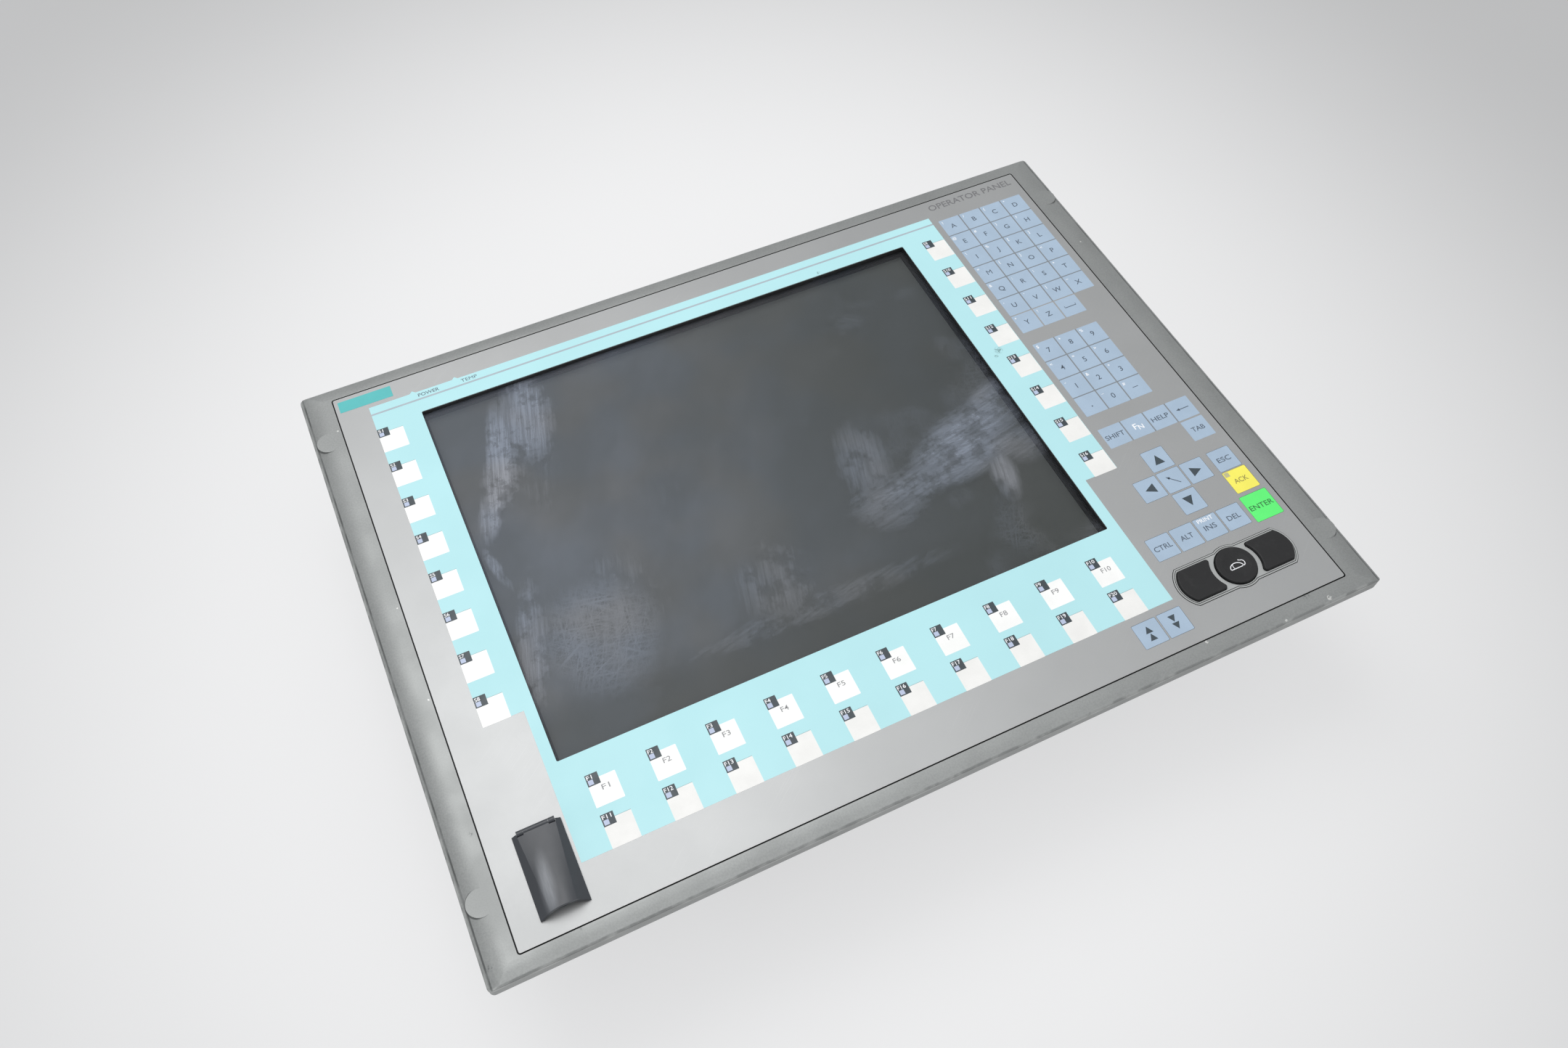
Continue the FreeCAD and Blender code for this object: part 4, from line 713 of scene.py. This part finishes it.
def softkeys():
    """Label windows of the S and F keys, each with its dark tag, lamp and name."""
    sides, rows = side_places(), row_places()
    upper, lower = rows[:ROW_KEYS], rows[ROW_KEYS:]
    ink("windows_named", [rect(x, y, KEY, KEY, 0.3) for x, y in upper + sides[:SIDE_KEYS]], WINDOW_T,
        PRINTS["window"])
    ink("windows_plain", [rect(x, y, KEY, KEY, 0.3) for x, y in lower + sides[SIDE_KEYS:]], WINDOW_T,
        PRINTS["window_plain"])
    half = KEY / 2
    # Painted shadow: thin darker lines along the top edges of the lower F windows and the S windows, from
    # the tag to the right edge.
    ink("window_painted_shadow_lines", [box_between(x - half + TAG_W, y + half - 0.12, x + half, y + half + 0.12)
                         for x, y in lower + sides], TAG_T, PRINTS["edge"])
    names = ["S%d" % (i + 1) for i in range(2 * SIDE_KEYS)]
    names += ["F%d" % (i + 1) for i in range(2 * ROW_KEYS)]
    tags, lamps, words = [], [], []
    for name, (x, y) in zip(names, sides + rows):
        left, top = x - half, y + half + TAG_ABOVE
        tags.append(box_between(left, top - TAG_H, left + TAG_W, top))
        low_x, low_y = left + LAMP_IN, top - TAG_H + LAMP_IN
        lamps.append(box_between(low_x, low_y, low_x + LAMP, low_y + LAMP))
        width = 2.7 if len(name) == 2 else 4.5
        words.append((name, left + 0.5 + width / 2, top - 1.6, 2.0, width))
    ink("softkey_tags", tags, TAG_T, PRINTS["tag"])
    ink("softkey_lamps", lamps, INK_T, PRINTS["lamp"])
    legends("softkey_names", words, INK_T, PRINTS["white"])
    legends("window_names", [("F%d" % (i + 1), x + 0.6, y + 1.5, 2.6, 4.0 if i < 9 else 5.6)
                             for i, (x, y) in enumerate(upper)], TAG_T, PRINTS["grey"])


LETTER_SIGNS = "!/(\"@#)?\\%[]={}<&:;*,'|~^"
DIGIT_SIGNS = "$+%<=>-&*"


def key_block():
    """Letter, digit and shift keys that are zones of the foil."""
    letters = [(chr(65 + i), block_x(i % 4), ALPHA_TOP - (i // 4) * ROW_PITCH) for i in range(26)]
    space = (block_x(2), ALPHA_TOP - 6 * ROW_PITCH)
    digits = [(sign, block_x(i % 3), DIGIT_TOP - (i // 3) * ROW_PITCH) for i, sign in enumerate("789456123")]
    zero_y = DIGIT_TOP - 3 * ROW_PITCH
    zones = [(x, y) for _, x, y in letters + digits] + [space]
    zones += [(block_x(i), zero_y) for i in range(3)] + [(block_x(i), SHIFT_Y) for i in range(4)]
    zones.append((block_x(3), TAB_Y))
    ink("key_zones", [rect(x, y, KEY, KEY, 0.4) for x, y in zones], FIELD_T, PRINTS["key_blue"])
    joints = []
    for top, rows, columns in ((ALPHA_TOP, 6, 4), (DIGIT_TOP, 4, 3), (SHIFT_Y, 1, 4)):
        width = (columns - 1) * KEY_PITCH + KEY
        for row in range(rows):
            y = top - row * ROW_PITCH
            if row:
                joints.append(rect(block_x(0) - KEY / 2 + width / 2, y + ROW_PITCH / 2, width, JOINT_W))
            joints += [rect(block_x(i) - KEY_PITCH / 2, y, JOINT_W, KEY) for i in range(1, columns)]
    ink("key_joints", joints, FIELD_T, PRINTS["joint"])
    words = [(sign, x, y, LETTER_CAP) for sign, x, y in letters + digits]
    words += [("0", block_x(1), zero_y, LETTER_CAP), ("SHIFT", block_x(0), SHIFT_Y, WORD_CAP, 12.2),
              ("HELP", block_x(2), SHIFT_Y, WORD_CAP, 11.2), ("TAB", block_x(3), TAB_Y, WORD_CAP, 8.3)]
    legends("key_letters", words, WINDOW_T, PRINTS["dark"])
    x, y = space
    bracket = stroke([(x - 3.7, y + 0.9), (x - 3.7, y - 0.3), (x + 3.7, y - 0.3), (x + 3.7, y + 0.9)], 0.5)
    back = block_x(3)
    minus = box_between(block_x(2) - 1.8, zero_y - 0.22, block_x(2) + 1.8, zero_y + 0.22)
    point = rect(block_x(0), zero_y - 1.6, 0.8, 0.8)
    shaft = stroke([(back - 2.4, SHIFT_Y), (back + 4.2, SHIFT_Y)], 0.5)
    lines = [bracket, minus, point, shaft, triangle(back - 3.0, SHIFT_Y, 1.9, 2.2, 90)]
    ink("key_lines", lines, WINDOW_T, PRINTS["dark"])
    seconds = [(LETTER_SIGNS[i % len(LETTER_SIGNS)], x - 5.2, y + 4.7, SIGN_CAP)
               for i, (_, x, y) in enumerate(letters)]
    seconds += [(sign, x - 5.0, y + 4.6, 2.1) for sign, (_, x, y) in zip(DIGIT_SIGNS, digits)]
    seconds += [("_", block_x(1) - 5.0, zero_y + 4.6, SIGN_CAP),
                ("#", block_x(2) - 5.0, zero_y + 4.6, SIGN_CAP),
                ("F", block_x(1) - 1.3, SHIFT_Y + 0.4, 3.7, 2.4),
                ("N", block_x(1) + 1.7, SHIFT_Y - 0.9, WORD_CAP, 3.2)]
    legends("key_second_signs", seconds, WINDOW_T, PRINTS["white"])


def moving_legends():
    """Print on the caps that travel; each rides its own key."""
    words = {"key_esc": ("ESC", 8.4), "key_ctrl": ("CTRL", 10.8), "key_alt": ("ALT", 7.8),
             "key_ins": ("INS", 7.4), "key_del": ("DEL", 8.0), "key_ack": ("ACK", 8.6),
             "key_enter": ("ENTER", 14.8)}
    colours = {"key_ack": "olive", "key_enter": "green"}
    for key, (word, width) in words.items():
        x, y, _, _ = middle_of(key)
        legends(key + "_legend", [(word, x, y, WORD_CAP, width)], FIELD_T, PRINTS[colours.get(key, "dark")],
                key)
    x, y, _, _ = middle_of("key_ins")
    legends("key_ins_second", [("PRINT", x, y + 5.0, 2.3, 9.6)], FIELD_T, PRINTS["white"], "key_ins")
    x, y, w, h = middle_of("key_ack")
    lamp = box_between(x - w / 2 + 0.5, y + h / 2 - 3.3, x - w / 2 + 3.4, y + h / 2 - 0.4)
    ink("key_ack_lamp", [lamp], FIELD_T, PRINTS["pale"], "key_ack")
    for key, turn in (("key_up", 0), ("key_left", 90), ("key_down", 180), ("key_right", 270)):
        x, y, _, _ = middle_of(key)
        ink(key + "_arrow", [triangle(x, y, 6.1, 6.2, turn)], FIELD_T, PRINTS["arrow"], key)
    x, y, _, _ = middle_of("key_home")
    line = stroke([(x - 2.0, y + 2.2), (x + 3.1, y - 2.9)], 0.5)
    ink("key_home_arrow", [line, triangle(x - 2.2, y + 2.4, 1.9, 2.3, 45)], FIELD_T, PRINTS["dark"],
        "key_home")
    for key, turn in (("key_page_up", 0), ("key_page_down", 180)):
        x, y, _, _ = middle_of(key)
        pair = [triangle(x, y + up, 4.2, 3.9, turn) for up in (-2.1, 2.2)]
        ink(key + "_arrows", pair, FIELD_T, PRINTS["arrow"], key)


def titles():
    """Blank badge and a plain description in the top corners."""
    ink("badge_blank", [box_between(-221.9, 157.4, -191.5, 165.4)], WINDOW_T, PRINTS["petrol"])
    legends("panel_title", [("OPERATOR PANEL", 189.6, 161.8, 4.6, 60.0)], WINDOW_T, PRINTS["title"])


def stick_sign():
    """Outline of a hand mouse with its lead, in white on the dished cap."""
    x0, y0, _, _ = middle_of("pointer_stick")
    dish_r, dish_depth, top = 60.0, 0.5, top_of("pointer_stick")

    def ribbon(points, width):
        outline = stroke(points, width)
        half = len(outline) // 2
        low, high = [], []
        for level, ring in ((-0.02, low), (0.05, high)):
            for x, y in outline:
                z = top - dish_depth + (x * x + y * y) / (2 * dish_r) + level
                ring.append(target.verts.new(((x0 + x) * MM, (y0 + y) * MM, z * MM)))
        last = 2 * half - 1
        for i in range(half - 1):
            j = last - i
            target.faces.new((high[i], high[i + 1], high[j - 1], high[j]))
            target.faces.new((low[i], low[j], low[j - 1], low[i + 1]))
        for i in range(2 * half):
            k = (i + 1) % (2 * half)
            target.faces.new((low[i], low[k], high[k], high[i]))

    target = bmesh.new()
    ribbon([(-4.4 + 0.8 * i, -1.9) for i in range(10)], 0.42)
    dome = [(-0.6 + 3.9 * math.cos(math.radians(a)), -1.8 + 3.0 * math.sin(math.radians(a)))
            for a in range(0, 181, 12)]
    ribbon(dome, 0.42)
    ribbon([(-2.2, -1.8), (-2.4, -0.6), (-2.1, 0.7)], 0.34)
    lead = [(3.3 + 1.5 * math.sin(math.radians(a)), -0.2 - 1.7 * math.cos(math.radians(a)))
            for a in range(0, 181, 15)]
    ribbon(lead + [(2.8, 1.75), (2.2, 2.2)], 0.38)
    return piece_from(target, "stick_sign", PRINTS["white"], "pointer_stick")


field()
softkeys()
key_block()
moving_legends()
titles()
stick_sign()


# ---- floor, light and camera ----
def floor():
    """Pale table with painted light: it glows faintly, less towards its edges, a painted pool of light that
    keeps the shadow on it soft.
    """
    s = finish("floor_pale", (0.3, 0.3, 0.302), 0.7, grain=1.5, depth=0.01, mottle=0.01, mottle_size=300.0,
               speck=0.004, shine=0.1)
    mapping = s.add("ShaderNodeMapping", vector_type="TEXTURE")
    s.feed(mapping.inputs["Vector"], s.mm)
    mapping.inputs["Location"].default_value = (-20.0, 30.0, 0.0)
    mapping.inputs["Rotation"].default_value = (0, 0, math.radians(-25.0))
    mapping.inputs["Scale"].default_value = (500.0, 570.0, 500.0)
    # Painted light: the emission is a pool of light, brightest near the middle and fainter towards the
    # edges.
    painted_light_glow = s.spread(s.vector("LENGTH", mapping.outputs[0]), 0.4, 1.6, 0.58, 0.24)
    s.bsdf.inputs["Emission Color"].default_value = (1.0, 1.0, 1.005, 1)
    s.set("Emission Strength", painted_light_glow)
    size = 4.0
    mesh = bpy.data.meshes.new("floor")
    corners = [(-size, -size, 0), (size, -size, 0), (size, size, 0), (-size, size, 0)]
    mesh.from_pydata(corners, [], [(0, 1, 2, 3)])
    mesh.materials.append(s.material)
    piece = bpy.data.objects.new("floor", mesh)
    scene.collection.objects.link(piece)


def softbox(name, place, aim, size, power):
    """Soft rectangular light at a place, turned to the aim; power in watts."""
    light = bpy.data.lights.new(name, "AREA")
    light.shape = "RECTANGLE"
    light.size, light.size_y = size
    light.energy = power
    lamp = bpy.data.objects.new(name, light)
    lamp.location = place
    lamp.rotation_mode = "QUATERNION"
    lamp.rotation_quaternion = (Vector(aim) - Vector(place)).to_track_quat("-Z", "Y")
    scene.collection.objects.link(lamp)


def studio():
    """Even pale surround, a key light beyond the panel and a wide soft light overhead."""
    world = bpy.data.worlds.new("studio")
    world.use_nodes = True
    scene.world = world
    background = world.node_tree.nodes["Background"]
    background.inputs["Color"].default_value = (0.97, 0.985, 1.0, 1)
    background.inputs["Strength"].default_value = 0.6
    centre = (0.0, 0.0, 0.1)
    softbox("key_softbox", (-0.25, 0.55, 1.45), centre, (0.9, 0.9), 8.0)
    softbox("top_softbox", (0.1, -0.1, 1.7), centre, (1.6, 1.6), 6.0)
    scene.view_settings.view_transform = "Standard"


def camera():
    data = bpy.data.cameras.new("camera")
    data.sensor_width = 36.0
    data.lens = LENS
    data.clip_start, data.clip_end = 0.01, 50.0
    holder = bpy.data.objects.new("camera", data)
    holder.location = CAMERA_PLACE
    holder.rotation_euler = [math.radians(a) for a in CAMERA_TURN]
    scene.collection.objects.link(holder)
    scene.camera = holder


floor()
studio()
camera()
